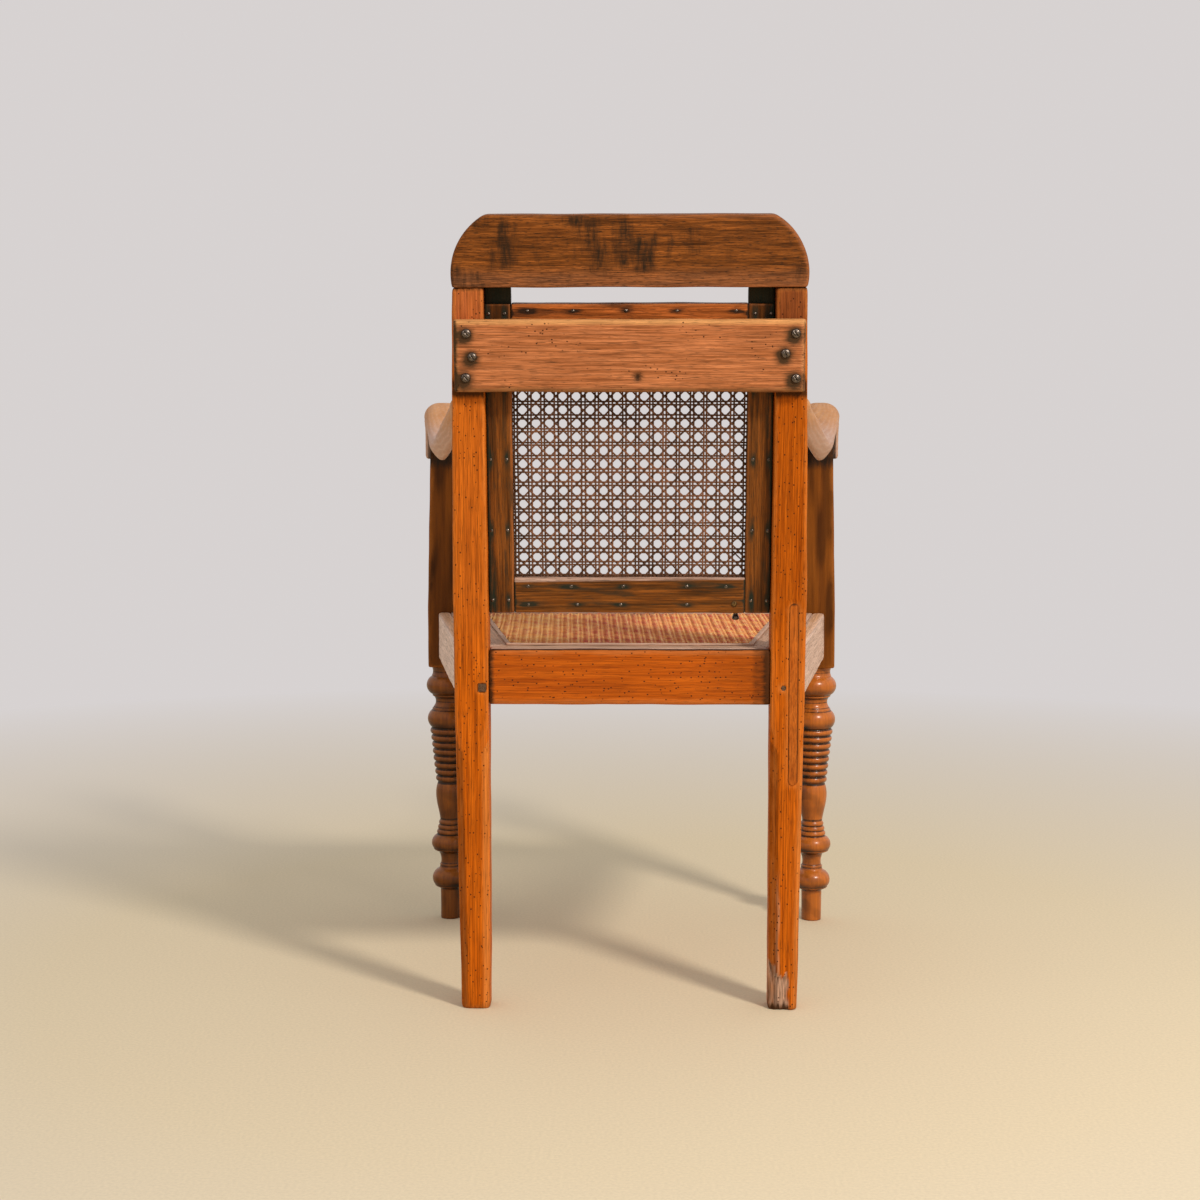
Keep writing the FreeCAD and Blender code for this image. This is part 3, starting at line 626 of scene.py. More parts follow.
def scaled(tree, value, low, high, to_low=0.0, to_high=1.0):
    """Value carried from one range to another, held within it."""
    sockets = {"Value": value, "From Min": low, "From Max": high, "To Min": to_low, "To Max": to_high}
    return put(tree, "ShaderNodeMapRange", sockets).outputs[0]


def reckoned(tree, how, first, second):
    """Two values put through one step of arithmetic."""
    return put(tree, "ShaderNodeMath", {0: first, 1: second}, operation=how).outputs[0]


def product(tree, first, second):
    return reckoned(tree, "MULTIPLY", first, second)


def times(tree, place, factors):
    return put(tree, "ShaderNodeVectorMath", {0: place, 1: factors}, operation="MULTIPLY").outputs[0]


def noise(tree, place, scale, detail=3.0, roughness=0.55):
    sockets = {"Vector": place, "Scale": scale, "Detail": detail, "Roughness": roughness}
    return put(tree, "ShaderNodeTexNoise", sockets).outputs[0]


def kept(tree, name, vector=False):
    """A number or vector that was kept on the vertices."""
    node = put(tree, "ShaderNodeAttribute", attribute_name=name)
    return node.outputs["Vector" if vector else "Fac"]


def new_group(name, inputs, outputs):
    """Empty node group with its sockets; returns the group, what it is given and its output node."""
    group = bpy.data.node_groups.new(name, "ShaderNodeTree")
    for label, kind, value in inputs:
        socket = group.interface.new_socket(label, in_out="INPUT", socket_type=kind)
        if value is not None:
            socket.default_value = value
    for label, kind in outputs:
        group.interface.new_socket(label, in_out="OUTPUT", socket_type=kind)
    return group, group.nodes.new("NodeGroupInput").outputs, group.nodes.new("NodeGroupOutput")


def placed(tree, group, sockets):
    """A node group with values or links for its inputs; returns its outputs."""
    return put(tree, "ShaderNodeGroup", sockets, node_tree=group).outputs


def figure_group():
    """Streaks, fibres and pores of sawn wood, drawn out along the grain."""
    group, given, out = new_group(
        "wood_figure",
        [("Grain", "NodeSocketVector", None), ("Streak Width", "NodeSocketFloat", 0.005),
         ("Streak Length", "NodeSocketFloat", 0.12)],
        [("Streaks", "NodeSocketFloat"), ("Fibres", "NodeSocketFloat"), ("Pores", "NodeSocketFloat")],
    )
    width, length = given["Streak Width"], given["Streak Length"]
    size = put(group, "ShaderNodeCombineXYZ", {0: length, 1: width, 2: width}).outputs[0]
    place = put(group, "ShaderNodeVectorMath", {0: given["Grain"], 1: size}, operation="DIVIDE").outputs[0]
    bands = noise(group, place, scale=0.6, detail=3.0, roughness=0.6)
    threads = noise(group, times(group, place, (0.4, 1.0, 1.0)), scale=2.4, detail=2.0, roughness=0.6)
    dashes = noise(group, times(group, place, (1.2, 1.0, 1.0)), scale=3.6, detail=1.0)
    feed(group, out, {
        "Streaks": scaled(group, bands, low=0.34, high=0.66),
        "Fibres": scaled(group, threads, low=0.36, high=0.64),
        "Pores": scaled(group, dashes, low=0.57, high=0.68),
    })
    return group


def worm_group():
    """Small round holes in loose clusters, bored square to the face."""
    group, given, out = new_group(
        "worm_holes",
        [("Bore", "NodeSocketVector", None), ("Spacing", "NodeSocketFloat", 0.0056),
         ("Size", "NodeSocketFloat", 0.0010), ("Clusters", "NodeSocketFloat", 0.5)],
        [("Holes", "NodeSocketFloat")],
    )
    place = times(group, given["Bore"], (0.8, 1.0, 1.0))
    scale = reckoned(group, "DIVIDE", 1.0, given["Spacing"])
    cells = put(group, "ShaderNodeTexVoronoi", {"Vector": place, "Scale": scale})
    away = product(group, cells.outputs["Distance"], given["Spacing"])
    near = reckoned(group, "SUBTRACT", 1.0, reckoned(group, "DIVIDE", away, given["Size"]))
    hole = scaled(group, near, low=0.0, high=0.25)
    crowd = noise(group, given["Bore"], scale=22.0, detail=2.0)
    where = scaled(group, reckoned(group, "SUBTRACT", crowd, given["Clusters"]), low=-0.03, high=0.05)
    feed(group, out, {"Holes": product(group, hole, where)})
    return group


def wear_group():
    """Rubbed arrises, and settled dirt with painted shadow: a kept amount broken up by noise drawn out one
    way.
    """
    group, given, out = new_group(
        "broken_mask",
        [("Grain", "NodeSocketVector", None), ("Amount", "NodeSocketFloat", 0.0),
         ("Breaking", "NodeSocketFloat", 0.8), ("Grit", "NodeSocketFloat", 220.0),
         ("Drawn", "NodeSocketVector", (0.25, 1.0, 1.0))],
        [("Mask", "NodeSocketFloat")],
    )
    place = times(group, given["Grain"], given["Drawn"])
    grit = noise(group, place, given["Grit"], detail=4.0, roughness=0.65)
    shake = product(group, reckoned(group, "SUBTRACT", grit, 0.5), given["Breaking"])
    gate = reckoned(group, "MINIMUM", 1.0, product(group, given["Amount"], 4.0))
    total = reckoned(group, "ADD", given["Amount"], product(group, shake, gate))
    feed(group, out, {"Mask": scaled(group, total, low=0.12, high=0.85)})
    return group


figure = figure_group()
worms = worm_group()
broken = wear_group()


def start_material(name):
    material = bpy.data.materials.new(name)
    material.use_nodes = True
    tree = material.node_tree
    shader = tree.nodes["Principled BSDF"]
    place = put(tree, "ShaderNodeTexCoord").outputs["Object"]
    return material, tree, shader, place


def wood(name, dark, middle, light, worn, dirt, raw=(0.52, 0.34, 0.26), width=0.005, length=0.12,
         fibre=0.7, pores=0.45, worm=0.0, rough=0.45, gloss=0.1, wear=0.4, bump=0.4, breaking=1.1,
         grit=260.0, drawn=(0.25, 1.0, 1.0), polished=False):
    """Old varnished wood: streaks along the grain, pores, worm holes, rubbed edges, bare places and dirt,
    with painted light and shade read from the vertices.
    """
    material, tree, shader, place = start_material(name)
    grain = kept(tree, "grain", True)
    marks = placed(tree, figure, {"Grain": grain, "Streak Width": width, "Streak Length": length})
    tone = mixed(tree, marks["Streaks"], dark, light)
    cloud = scaled(tree, noise(tree, place, scale=14.0), low=0.35, high=0.65)
    tone = mixed(tree, product(tree, cloud, cloud_cover), tone, middle)
    # The tint mixes towards the worn colour: wear on most pieces, and painted light on the chamfers, the
    # turnings' tops and the left side rail
    tone = mixed(tree, kept(tree, "tint"), tone, worn)
    # Mixed towards the second colour: bare wood on most pieces, and painted light on the right leg's turnings
    tone = mixed(tree, kept(tree, "raw"), tone, raw)
    thread = mixed(tree, marks["Fibres"], thread_dark, thread_light)
    tone = mixed(tree, fibre, tone, thread, "MULTIPLY")
    tone = mixed(tree, product(tree, marks["Pores"], pores), tone, dirt)
    tone = mixed(tree, kept(tree, "shade"), tone, black)
    edges = {"Grain": grain, "Amount": kept(tree, "wear"), "Breaking": edge_breaking, "Grit": edge_grit}
    rubbed = placed(tree, broken, edges)["Mask"]
    tone = mixed(tree, product(tree, rubbed, wear), tone, worn)
    grime_and_shade = {"Grain": grain, "Amount": kept(tree, "dirt"), "Breaking": breaking, "Grit": grit, "Drawn": drawn}
    soil_and_shade = placed(tree, broken, grime_and_shade)["Mask"]
    tone = mixed(tree, product(tree, soil_and_shade, soil_and_shade_cover), tone, dirt)
    height = product(tree, marks["Fibres"], 0.5)
    height = reckoned(tree, "ADD", height, product(tree, marks["Streaks"], 0.5))
    height = reckoned(tree, "SUBTRACT", height, marks["Pores"])
    if worm:
        holes = placed(tree, worms, {"Bore": kept(tree, "bore", True), "Clusters": worm})["Holes"]
        tone = mixed(tree, product(tree, holes, worm_cover), tone, worm_colour)
        height = reckoned(tree, "SUBTRACT", height, product(tree, holes, worm_deep))
    dull = scaled(tree, marks["Fibres"], 0.0, 1.0, to_low=rough - smooth_fibre, to_high=rough + rough_fibre)
    dull = reckoned(tree, "ADD", dull, product(tree, soil_and_shade, soil_and_shade_dull))
    relief = put(tree, "ShaderNodeBump", {"Strength": bump, "Distance": wood_relief, "Height": height})
    feed(tree, shader, {
        "Base Color": tone,
        "Roughness": dull,
        "Specular IOR Level": gloss,
        "Normal": relief.outputs[0],
    })
    if polished:
        feed(tree, shader, {"Coat Weight": kept(tree, "coat"), "Coat Roughness": coat_rough})
    return material


post_wood = wood(
    "post_wood", dark=(0.43, 0.08, 0.001), middle=(0.55, 0.112, 0.003), light=(0.65, 0.144, 0.005),
    worn=(0.7, 0.22, 0.04), dirt=(0.045, 0.016, 0.004), raw=(0.6, 0.36, 0.24), worm=0.36, width=0.0036,
    length=0.1, gloss=0.06, fibre=0.6, pores=0.42,
)
rail_wood = wood(
    "rail_wood", dark=(0.4, 0.072, 0.003), middle=(0.49, 0.096, 0.004), light=(0.56, 0.118, 0.006),
    worn=(0.64, 0.22, 0.06), dirt=(0.045, 0.016, 0.004), worm=0.34, width=0.0036, length=0.09,
    gloss=0.08, fibre=0.42, pores=0.34,
)
patch_wood = wood(
    "patch_wood", dark=(0.42, 0.09, 0.006), middle=(0.49, 0.112, 0.01), light=(0.56, 0.145, 0.016),
    worn=(0.6, 0.24, 0.08), dirt=(0.06, 0.02, 0.006), width=0.004, length=0.1, wear=0.1, fibre=0.45,
    pores=0.3,
)
slat_wood = wood(
    "slat_wood", dark=(0.36, 0.112, 0.034), middle=(0.49, 0.165, 0.056), light=(0.61, 0.22, 0.085),
    worn=(0.7, 0.33, 0.115), dirt=(0.04, 0.024, 0.01), width=0.0023, length=0.062, worm=0.54,
    fibre=0.7, pores=0.6,
)
crest_wood = wood(
    "crest_wood", dark=(0.1, 0.03, 0.004), middle=(0.19, 0.058, 0.01), light=(0.33, 0.098, 0.016),
    worn=(0.46, 0.155, 0.055), dirt=(0.018, 0.012, 0.006), width=0.0025, length=0.034, fibre=0.85,
    pores=0.75, breaking=1.7, grit=170.0, drawn=(1.0, 0.22, 1.0),
)
panel_wood = wood(
    "panel_wood", dark=(0.085, 0.03, 0.006), middle=(0.17, 0.052, 0.008), light=(0.26, 0.078, 0.011),
    worn=(0.36, 0.115, 0.03), dirt=(0.017, 0.024, 0.015), width=0.0036, length=0.06, fibre=0.75,
    rough=0.4,
)
head_wood = wood(
    "head_wood", dark=(0.28, 0.072, 0.012), middle=(0.46, 0.115, 0.021), light=(0.64, 0.17, 0.034),
    worn=(0.45, 0.16, 0.05), dirt=(0.012, 0.01, 0.006), width=0.004, length=0.05, rough=0.4, fibre=0.6,
)
arm_wood = wood(
    "arm_wood", dark=(0.54, 0.24, 0.095), middle=(0.6, 0.28, 0.12), light=(0.66, 0.33, 0.15),
    worn=(0.6, 0.37, 0.28), dirt=(0.24, 0.11, 0.05), raw=(0.76, 0.57, 0.47), width=0.008, length=0.12,
    rough=0.5, fibre=0.12, pores=0.04, bump=0.12,
)
leg_wood = wood(
    "leg_wood", dark=(0.15, 0.04, 0.003), middle=(0.2, 0.056, 0.004), light=(0.27, 0.078, 0.006),
    worn=(0.46, 0.15, 0.025), dirt=(0.01, 0.006, 0.003), raw=(0.72, 0.19, 0.018), width=0.008,
    length=0.1, rough=0.36, gloss=0.12, fibre=0.22, pores=0.1, bump=0.12, polished=True,
)
block_wood = wood(
    "block_wood", dark=(0.045, 0.015, 0.002), middle=(0.11, 0.032, 0.002), light=(0.2, 0.053, 0.003),
    worn=(0.5, 0.2, 0.08), dirt=(0.012, 0.008, 0.004), width=0.008, length=0.1, rough=0.35,
)
bleached_wood = wood(
    "bleached_wood", dark=(0.46, 0.28, 0.2), middle=(0.56, 0.36, 0.27), light=(0.66, 0.45, 0.35),
    worn=(0.86, 0.66, 0.57), dirt=(0.12, 0.065, 0.038), raw=(0.62, 0.32, 0.15), width=0.005,
    length=0.08, rough=0.6, fibre=0.4, wear=0.2,
)


def metal(name, dull, bright, rough):
    """Aged metal with a mottled skin."""
    material, tree, shader, place = start_material(name)
    rust = scaled(tree, noise(tree, place, scale=420.0, detail=4.0, roughness=0.7), low=0.35, high=0.65)
    relief = put(tree, "ShaderNodeBump", {"Strength": 0.25, "Distance": fine_relief, "Height": rust})
    feed(tree, shader, {
        "Base Color": mixed(tree, rust, dull, bright),
        "Roughness": scaled(tree, rust, 0.0, 1.0, to_low=rough + 0.15, to_high=rough),
        "Metallic": 0.9,
        "Normal": relief.outputs[0],
    })
    return material


dark_iron = metal("dark_iron", dull=(0.02, 0.015, 0.01), bright=(0.24, 0.19, 0.155), rough=0.24)
peg_iron = metal("peg_iron", dull=(0.08, 0.045, 0.025), bright=(0.24, 0.14, 0.085), rough=0.42)
old_brass = metal("old_brass", dull=(0.07, 0.036, 0.012), bright=(0.28, 0.17, 0.065), rough=0.35)


def cane(name, dark, light, shaded, rough, gloss):
    """Split cane: glossy skin with cloudy colour along the strand."""
    material, tree, shader, place = start_material(name)
    cloud = scaled(tree, noise(tree, place, scale=60.0, detail=4.0, roughness=0.65), low=0.32, high=0.68)
    fibres = noise(tree, place, scale=900.0, detail=2.0)
    relief = put(tree, "ShaderNodeBump", {"Strength": 0.3, "Distance": fine_relief, "Height": fibres})
    feed(tree, shader, {
        "Base Color": mixed(tree, kept(tree, "tint"), mixed(tree, cloud, dark, light), shaded),
        "Roughness": scaled(tree, cloud, 0.0, 1.0, to_low=rough + 0.1, to_high=rough),
        "Specular IOR Level": gloss,
        "Normal": relief.outputs[0],
    })
    return material


back_cane_skin = cane(
    "back_cane_skin", dark=(0.02, 0.01, 0.005), light=(0.075, 0.033, 0.014),
    shaded=(0.27, 0.115, 0.06), rough=0.4, gloss=0.15,
)
seat_cane_skin = cane(
    "seat_cane_skin", dark=(0.99, 0.45, 0.11), light=(0.99, 0.65, 0.25), shaded=(0.68, 0.14, 0.085),
    rough=0.45, gloss=0.04,
)


# Woven cane

strip_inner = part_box("strip_left")[0].x
ring_across = np.array([-1.0, -0.55, 0.55, 1.0, 0.55, -0.55])
ring_out = np.array([0.0, 0.9, 0.9, 0.0, -0.9, -0.9])


def ribbon(path, width, thick):
    """Vertices and faces of one flat strand along a path of across, up and outward places."""
    run = np.gradient(path[:, :2], axis=0)
    run /= np.linalg.norm(run, axis=1)[:, None]
    side = np.stack([-run[:, 1], run[:, 0], np.zeros(len(run))], axis=1)
    rings = path[:, None, :] + side[:, None, :] * (ring_across * width / 2)[None, :, None]
    rings[:, :, 2] += ring_out * thick / 2
    count = len(ring_across)
    first = np.arange(len(path) - 1)[:, None] * count
    here = np.arange(count)[None, :]
    after = (here + 1) % count
    faces = np.stack([first + here, first + after, first + count + after, first + count + here], axis=2)
    return rings.reshape(-1, 3), faces.reshape(-1, 4)


def plain_weave(place, pitch, gap, side):
    """Height of a strand that passes over one and under the other of each crossed pair."""
    offset = (place + pitch / 2) % pitch - pitch / 2
    return side * np.sin(np.clip(offset / gap, -1, 1) * math.pi)


def woven(name, strands, lay, material, node, tinting):
    """One mesh of many strands, laid on its surface by a function, and tinted as another function says."""
    vertices, faces, tints, base = [], [], [], 0
    for path, width, thick, tint in strands:
        if len(path) < 3:
            continue
        ring, quads = ribbon(path, width, thick)
        vertices.append(ring)
        faces.append(quads + base)
        tints.append(np.full(len(ring), tint))
        base += len(ring)
    points = lay(np.concatenate(vertices))
    mesh = quad_mesh(name, points, np.concatenate(faces))
    store(mesh, "tint", np.clip(np.concatenate(tints) * tinting(points), 0, 1))
    stand_in(name, mesh, material, node)


def back_strands():
    """Pairs up and across and single diagonals both ways, over the opening of the back."""
    draw = np.random.default_rng(11)
    half = strip_inner + back_hidden
    sill = span("strip_bottom", rake_up)[1]
    low = sill - back_hidden
    high = span("strip_top", rake_up)[0] + back_hidden
    first = sill + back_first_row - back_pitch_up / 2
    left = back_cane_shift - (back_pairs - 1) / 2 * back_pitch_across
    rise = np.arange(low, high, back_pitch_up / back_steps)
    sweep = np.arange(-half, half, back_pitch_across / back_steps)
    thick = back_strand_thick
    strands = []

    def wander(run):
        sway = back_sway * np.sin(run * back_sway_rate + draw.uniform(0, phase_range))
        return sway + draw.normal(0, back_stray)

    for number in range(back_pairs):
        for side in (-1, 1):
            aside = side * back_pair_gap / 2
            x = left + number * back_pitch_across + aside
            over = back_over * plain_weave(rise - first, back_pitch_up, back_pair_gap, side)
            path = np.stack([x + wander(rise), rise, over], axis=1)
            strands.append((path, back_strand, thick, draw.uniform(*back_tints)))
            z = first + number * back_pitch_up + aside
            over = -back_over * plain_weave(sweep - left, back_pitch_across, back_pair_gap, side)
            path = np.stack([sweep, z + wander(sweep), over], axis=1)
            strands.append((path, back_strand, thick, draw.uniform(*back_tints)))
    steep = back_pitch_up / back_pitch_across
    for way in (-1, 1):
        for number in range(-2 * back_pairs, 2 * back_pairs):
            start = first + (number + 0.5) * back_pitch_up
            up = start + way * (sweep - left) * steep + wander(sweep)
            inside = (up > low) & (up < high)
            over = way * back_diagonal_over * np.cos(2 * math.pi * (sweep - left) / back_pitch_across)
            path = np.stack([sweep, up, over], axis=1)[inside]
            strands.append((path, back_diagonal, thick, draw.uniform(*back_tints)))
    loose = np.linspace(-slack_reach, slack_reach, slack_steps)
    hole = (left + back_pitch_across / 2, first + 1.5 * back_pitch_up)
    across = hole[0] + slack_run[0] * loose - slack_shift
    rise = hole[1] + slack_run[1] * loose + slack_bow * loose ** 2
    slack = np.stack([across, rise, np.full(len(loose), back_diagonal_over + thick)], axis=1)
    strands.append((slack, back_strand * 0.8, thick, 0.1))
    return strands


def lay_back(points):
    plane = sum(span("back_cane", rake_rear)) / 2
    return upright(np.stack([points[:, 0], plane + points[:, 2], points[:, 1]], axis=1))


def back_bleach(points):
    """The back's cane is paler below its middle than along its top and sides."""
    up = points @ rake_up
    low, high = span("back_cane", rake_up)
    share = (up - low) / (high - low)
    rise = soft_step(share, 0.95, 0.45) * soft_step(share, 0.02, 0.2)
    side = soft_step(np.abs(points[:, 0]), strip_inner, strip_inner - 0.03)
    cloud = 0.85 + 0.12 * ripple(points, wave=0.06, seed=19)
    return np.clip((0.25 + 0.75 * rise * side) * cloud, 0, 1)


seat_points = solid_points("seat_cane")
seat_rear = seat_points[:, 1].max()
seat_front = seat_points[:, 1].min()
seat_half_rear = seat_points[seat_points[:, 1] > seat_rear - 0.001][:, 0].max()
seat_half_front = seat_points[seat_points[:, 1] < seat_front + 0.001][:, 0].max()
seat_deep = seat_rear - seat_front


def seat_half(y):
    """Half the width of the seat's cane at a place from front to rear."""
    return seat_half_rear + (seat_half_front - seat_half_rear) * (seat_rear - y) / seat_deep


def skewed(x, y):
    """The seat's strands lean to one side and draw together towards the rear."""
    return x - (seat_lean + seat_fan * x) * (y - (seat_rear + seat_front) / 2)


def seat_strands():
    """Pairs front to back and side to side and diagonals both ways, within the seat's outline."""
    draw = np.random.default_rng(23)
    step = seat_pitch / seat_steps
    columns = int(2 * seat_half_front / seat_pitch) + 4
    rows = int(seat_deep / seat_pitch)
    left = -columns / 2 * seat_pitch
    forth = np.arange(seat_front, seat_rear, step)
    sweep = np.arange(left, -left, step)
    strands = []

    def add(x, y, over, width, tint):
        x = skewed(x, y)
        inside = (y > seat_front) & (y < seat_rear) & (np.abs(x) < seat_half(y))
        strands.append((np.stack([x, y, over], axis=1)[inside], width, seat_strand_thick, tint))

    for column in range(columns + 1):
        for side in (-1, 1):
            x = left + column * seat_pitch + side * seat_pair_gap / 2
            over = seat_over * plain_weave(forth - seat_rear, seat_pitch, seat_pair_gap, side) + seat_lift
            stray = draw.normal(0, seat_stray)
            sway = stray + seat_sway * np.sin(forth * seat_sway_rate + draw.uniform(0, phase_range))
            add(x + sway, forth, over, seat_strand, draw.uniform(*seat_forth_tints))
    for row in range(1, rows):
        for side in (-1, 1):
            y = seat_rear - row * seat_pitch + side * seat_pair_gap / 2
            over = -seat_over * plain_weave(sweep - left, seat_pitch, seat_pair_gap, side)
            add(sweep, np.full(len(sweep), y), over, seat_strand, draw.uniform(*seat_cross_tints))
    for way in (-1, 1):
        for number in range(-rows - columns, rows + columns):
            y = seat_rear + (number + 0.5) * seat_pitch + way * (sweep - left)
            over = way * seat_diagonal_over * np.cos(2 * math.pi * (sweep - left) / seat_pitch)
            add(sweep, y, over, seat_diagonal, draw.uniform(*seat_diagonal_tints))
    return strands


def seat_wear_and_light(points):
    """The seat's strands are browner in the middle and in small patches, and painted paler at the left as
    light.
    """
    patch = ripple(points * [1.0, 0.6, 1.0], wave=0.014, seed=29)
    worn = soft_step(np.abs(points[:, 0] - 0.02), 0.12, 0.02)
    # Painted light at the left of the seat
    painted_left_light = soft_step(points[:, 0], 0.03, 0.13)
    return np.clip(0.80 + 0.20 * patch + 0.12 * worn - 0.30 * painted_left_light, 0.1, 1.6)


def lay_seat(points):
    """On the sloping seat, a little sunk in the middle."""
    low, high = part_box("seat_cane")
    rise = (high.z - low.z - seat_sheet) / seat_deep
    level = low.z + seat_sheet_middle + rise * (seat_rear - points[:, 1])
    across = np.clip(1 - (points[:, 0] / seat_half(points[:, 1])) ** 2, 0, 1)
    along = np.clip(4 * (points[:, 1] - seat_front) * (seat_rear - points[:, 1]) / seat_deep ** 2, 0, 1)
    level = level - seat_sag * np.sqrt(across * along)
    return np.stack([points[:, 0], points[:, 1], level + points[:, 2]], axis=1)


# Marks on the wood


def spots(node, reach):
    """Middles of a node's separate small solids, across and up the rake."""
    left = leaning(solid_points(node))[:, [0, 2]]
    found = []
    while len(left):
        near = np.linalg.norm(left - left[0], axis=1) < reach
        found.append(left[near].mean(axis=0))
        left = left[~near]
    return np.array(found)


def bloom(points, middles, wide, tall, shift=(0.0, 0.0)):
    """Dark bloom round places across and up the rake."""
    lean = leaning(points)
    most = np.zeros(len(points))
    for x, up in middles:
        away = ((lean[:, 0] - x - shift[0]) / wide) ** 2 + ((lean[:, 2] - up - shift[1]) / tall) ** 2
        most = np.maximum(most, np.exp(-away))
    return most


slat_screw_spots = spots("slat_screws", reach=0.012)
nail_spots = spots("strip_nails", reach=0.006)
slat_foot, slat_head = span("tie_slat", rake_up)
post_head = span("rear_post_left", rake_up)[1]
post_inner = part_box("rear_post_left")[0].x
post_points = solid_points("rear_post_left")
leg_rear = post_points[post_points[:, 2] < leg_straight][:, 1].max()
leg_outer_foot = post_points[post_points[:, 2] < 0.001][:, 0].max()
leg_outer_knee = post_points[np.abs(post_points[:, 2] - chamfer_top) < 0.03][:, 0].max()
crest_foot, crest_head = span("crest_rail", rake_up)
sill_top = span("strip_bottom", rake_up)[1]
strip_rear = span("strip_bottom", rake_rear)[1]
strip_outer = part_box("strip_left")[1].x
patch_low, patch_high = span("post_patch", rake_up)
knot_spot = np.array([(knot_across, slat_foot + knot_rise)])

# Vertical stains of the crest: place across, lower and upper share of its height, half width, strength
crest_stains = (
    (0.151, 0.25, 0.95, 0.0080, 0.80), (0.167, 0.18, 0.60, 0.0055, 0.45), (0.137, 0.30, 0.95, 0.0065, 0.30),
    (0.060, 0.45, 1.00, 0.0110, 0.35), (0.042, 0.22, 0.98, 0.0095, 0.60), (0.030, 0.12, 0.60, 0.0060, 0.35),
    (0.011, 0.25, 1.00, 0.0100, 0.58), (-0.001, 0.30, 0.90, 0.0070, 0.34), (-0.015, 0.20, 0.70, 0.0095, 0.78),
    (-0.029, 0.25, 0.75, 0.0060, 0.50), (-0.047, 0.30, 0.80, 0.0050, 0.40),
    (-0.077, 0.45, 0.85, 0.0100, 0.45),
    (0.068, 0.86, 1.05, 0.0180, 0.40), (0.112, 0.30, 0.75, 0.0050, 0.25), (0.207, 0.00, 0.35, 0.0120, 0.50),
    (-0.207, 0.05, 0.40, 0.0080, 0.45), (-0.190, 0.55, 0.85, 0.0060, 0.35), (0.185, 0.00, 0.25, 0.0100, 0.40),
    (0.182, 0.80, 1.00, 0.0120, 0.40), (-0.120, 0.30, 0.80, 0.0080, 0.20),
)


def post_marks(points, facing, looks):
    """A dark band at the slat's lower edge, dirt at the head and the foot, a bleached head, and painted light
    and shade on the chamfers.
    """
    lean = leaning(points)
    left = points[:, 0] > 0
    rear = soft_step(facing[:, 1], 0.3, 0.8)
    below = slat_foot - lean[:, 2]
    # Darker just under the slat's lower edge and behind it
    looks["dirt"] += 0.95 * soft_step(below, 0.013, 0.003) * soft_step(below, -0.03, -0.002) * rear
    looks["dirt"] += 0.7 * near_end(lean[:, 2], post_head, 0.006)
    looks["dirt"] += 0.4 * soft_step(points[:, 2], 0.014, 0.0)
    above = near_end(lean[:, 2], slat_head, 0.01)
    looks["shade"] += 0.12 * above
    looks["raw"] += 0.14 * above
    upper = soft_step(points[:, 2], knee_low, knee_high)
    looks["tint"] += np.where(left, 0.18, 0.0) * upper * (1 - above)
    inner, outer = chamfer_places(points)
    behind = soft_step(facing[:, 1], 0.2, 0.5)
    looks["shade"] += 0.46 * behind * soft_step(np.where(left, outer, inner), 0.0, 0.12)
    looks["tint"] += 0.70 * behind * soft_step(np.where(left, inner, outer), 0.0, 0.12)


def right_post_marks(points, facing, looks):
    """A post's marks, with a darker upper part, bare wood in the broken foot and the pale split above it."""
    post_marks(points, facing, looks)
    lean = leaning(points)
    height = points[:, 2]
    looks["shade"] += 0.05 + 0.14 * soft_step(height, knee_low, knee_high)
    looks["shade"] += 0.26 * near_end(lean[:, 2], slat_head, 0.01)
    share = split_share(points)
    looks["raw"] += share
    looks["dirt"] += 0.5 * share * soft_step(split_ridge(points), 0.40, 0.0)
    looks["dirt"] += 0.5 * share * soft_step(height, 0.010, 0.002)
    arris = -post_inner - right_chamfers[0]
    astray = np.abs(points[:, 0] - arris - crack_stray * np.sin(height * crack_rate))
    climb = soft_step(height, crack_foot, crack_full) * soft_step(height, crack_top, crack_top - crack_fade)
    line = climb * soft_step(astray, 0.0020, 0.0006) * soft_step(facing[:, 1], 0.3, 0.7)
    looks["tint"] += 0.8 * line
    looks["raw"] += 0.42 * line


def chamfer_places(points):
    """How far a place lies into the inner and the outer chamfer of a rear leg, as shares of their width."""
    out = np.abs(points[:, 0])
    left = points[:, 0] > 0
    face = leg_outer_foot + (leg_outer_knee - leg_outer_foot) * points[:, 2] / chamfer_top
    run = soft_step(points[:, 2], chamfer_top, chamfer_top - chamfer_run_out) + 1e-6
    inner = run * np.where(left, left_chamfers[0], right_chamfers[0])
    outer = run * np.where(left, left_chamfers[1], right_chamfers[1])
    return 1 - (out - post_inner) / inner, 1 - (face - out) / outer


def chamfered(points, facing):
    """Rear corners of a leg cut back to their chamfers."""
    into = np.clip(np.maximum(*chamfer_places(points)), 0, 1)
    into = into * soft_step(points[:, 2], chamfer_top, chamfer_top - chamfer_run_out)
    moved = points.copy()
    cut = np.minimum(points[:, 1], post_face(points[:, 2]) - chamfer_deep * into)
    moved[:, 1] = np.where(into > 0, cut, points[:, 1])
    return moved


def split_share(points):
    """How much a place lies in the broken corner of the right rear foot."""
    inner = -points[:, 0] - post_inner
    jag = sum(size * np.sin(inner * rate + phase) for size, rate, phase in split_jags)
    top = split_high - split_slant + 0.7 * jag + split_slant * (1 - np.clip(inner / split_wide, 0, 1))
    wide = split_wide * (0.93 + 0.05 * np.sin(points[:, 2] * 230))
    behind = post_face(points[:, 2]) - points[:, 1] + 0.4 * jag
    near = soft_step(behind, split_far, split_far - 0.003)
    return near * soft_step(wide - inner, -0.001, 0.002) * soft_step(top - points[:, 2], -0.001, 0.003)


def split_ridge(points):
    """Ridges of torn grain, from 0 in a furrow to 1 on a ridge."""
    return 0.5 + 0.5 * np.sin(points[:, 0] * split_ridge_rate + 2.0 * np.sin(points[:, 2] * 70))


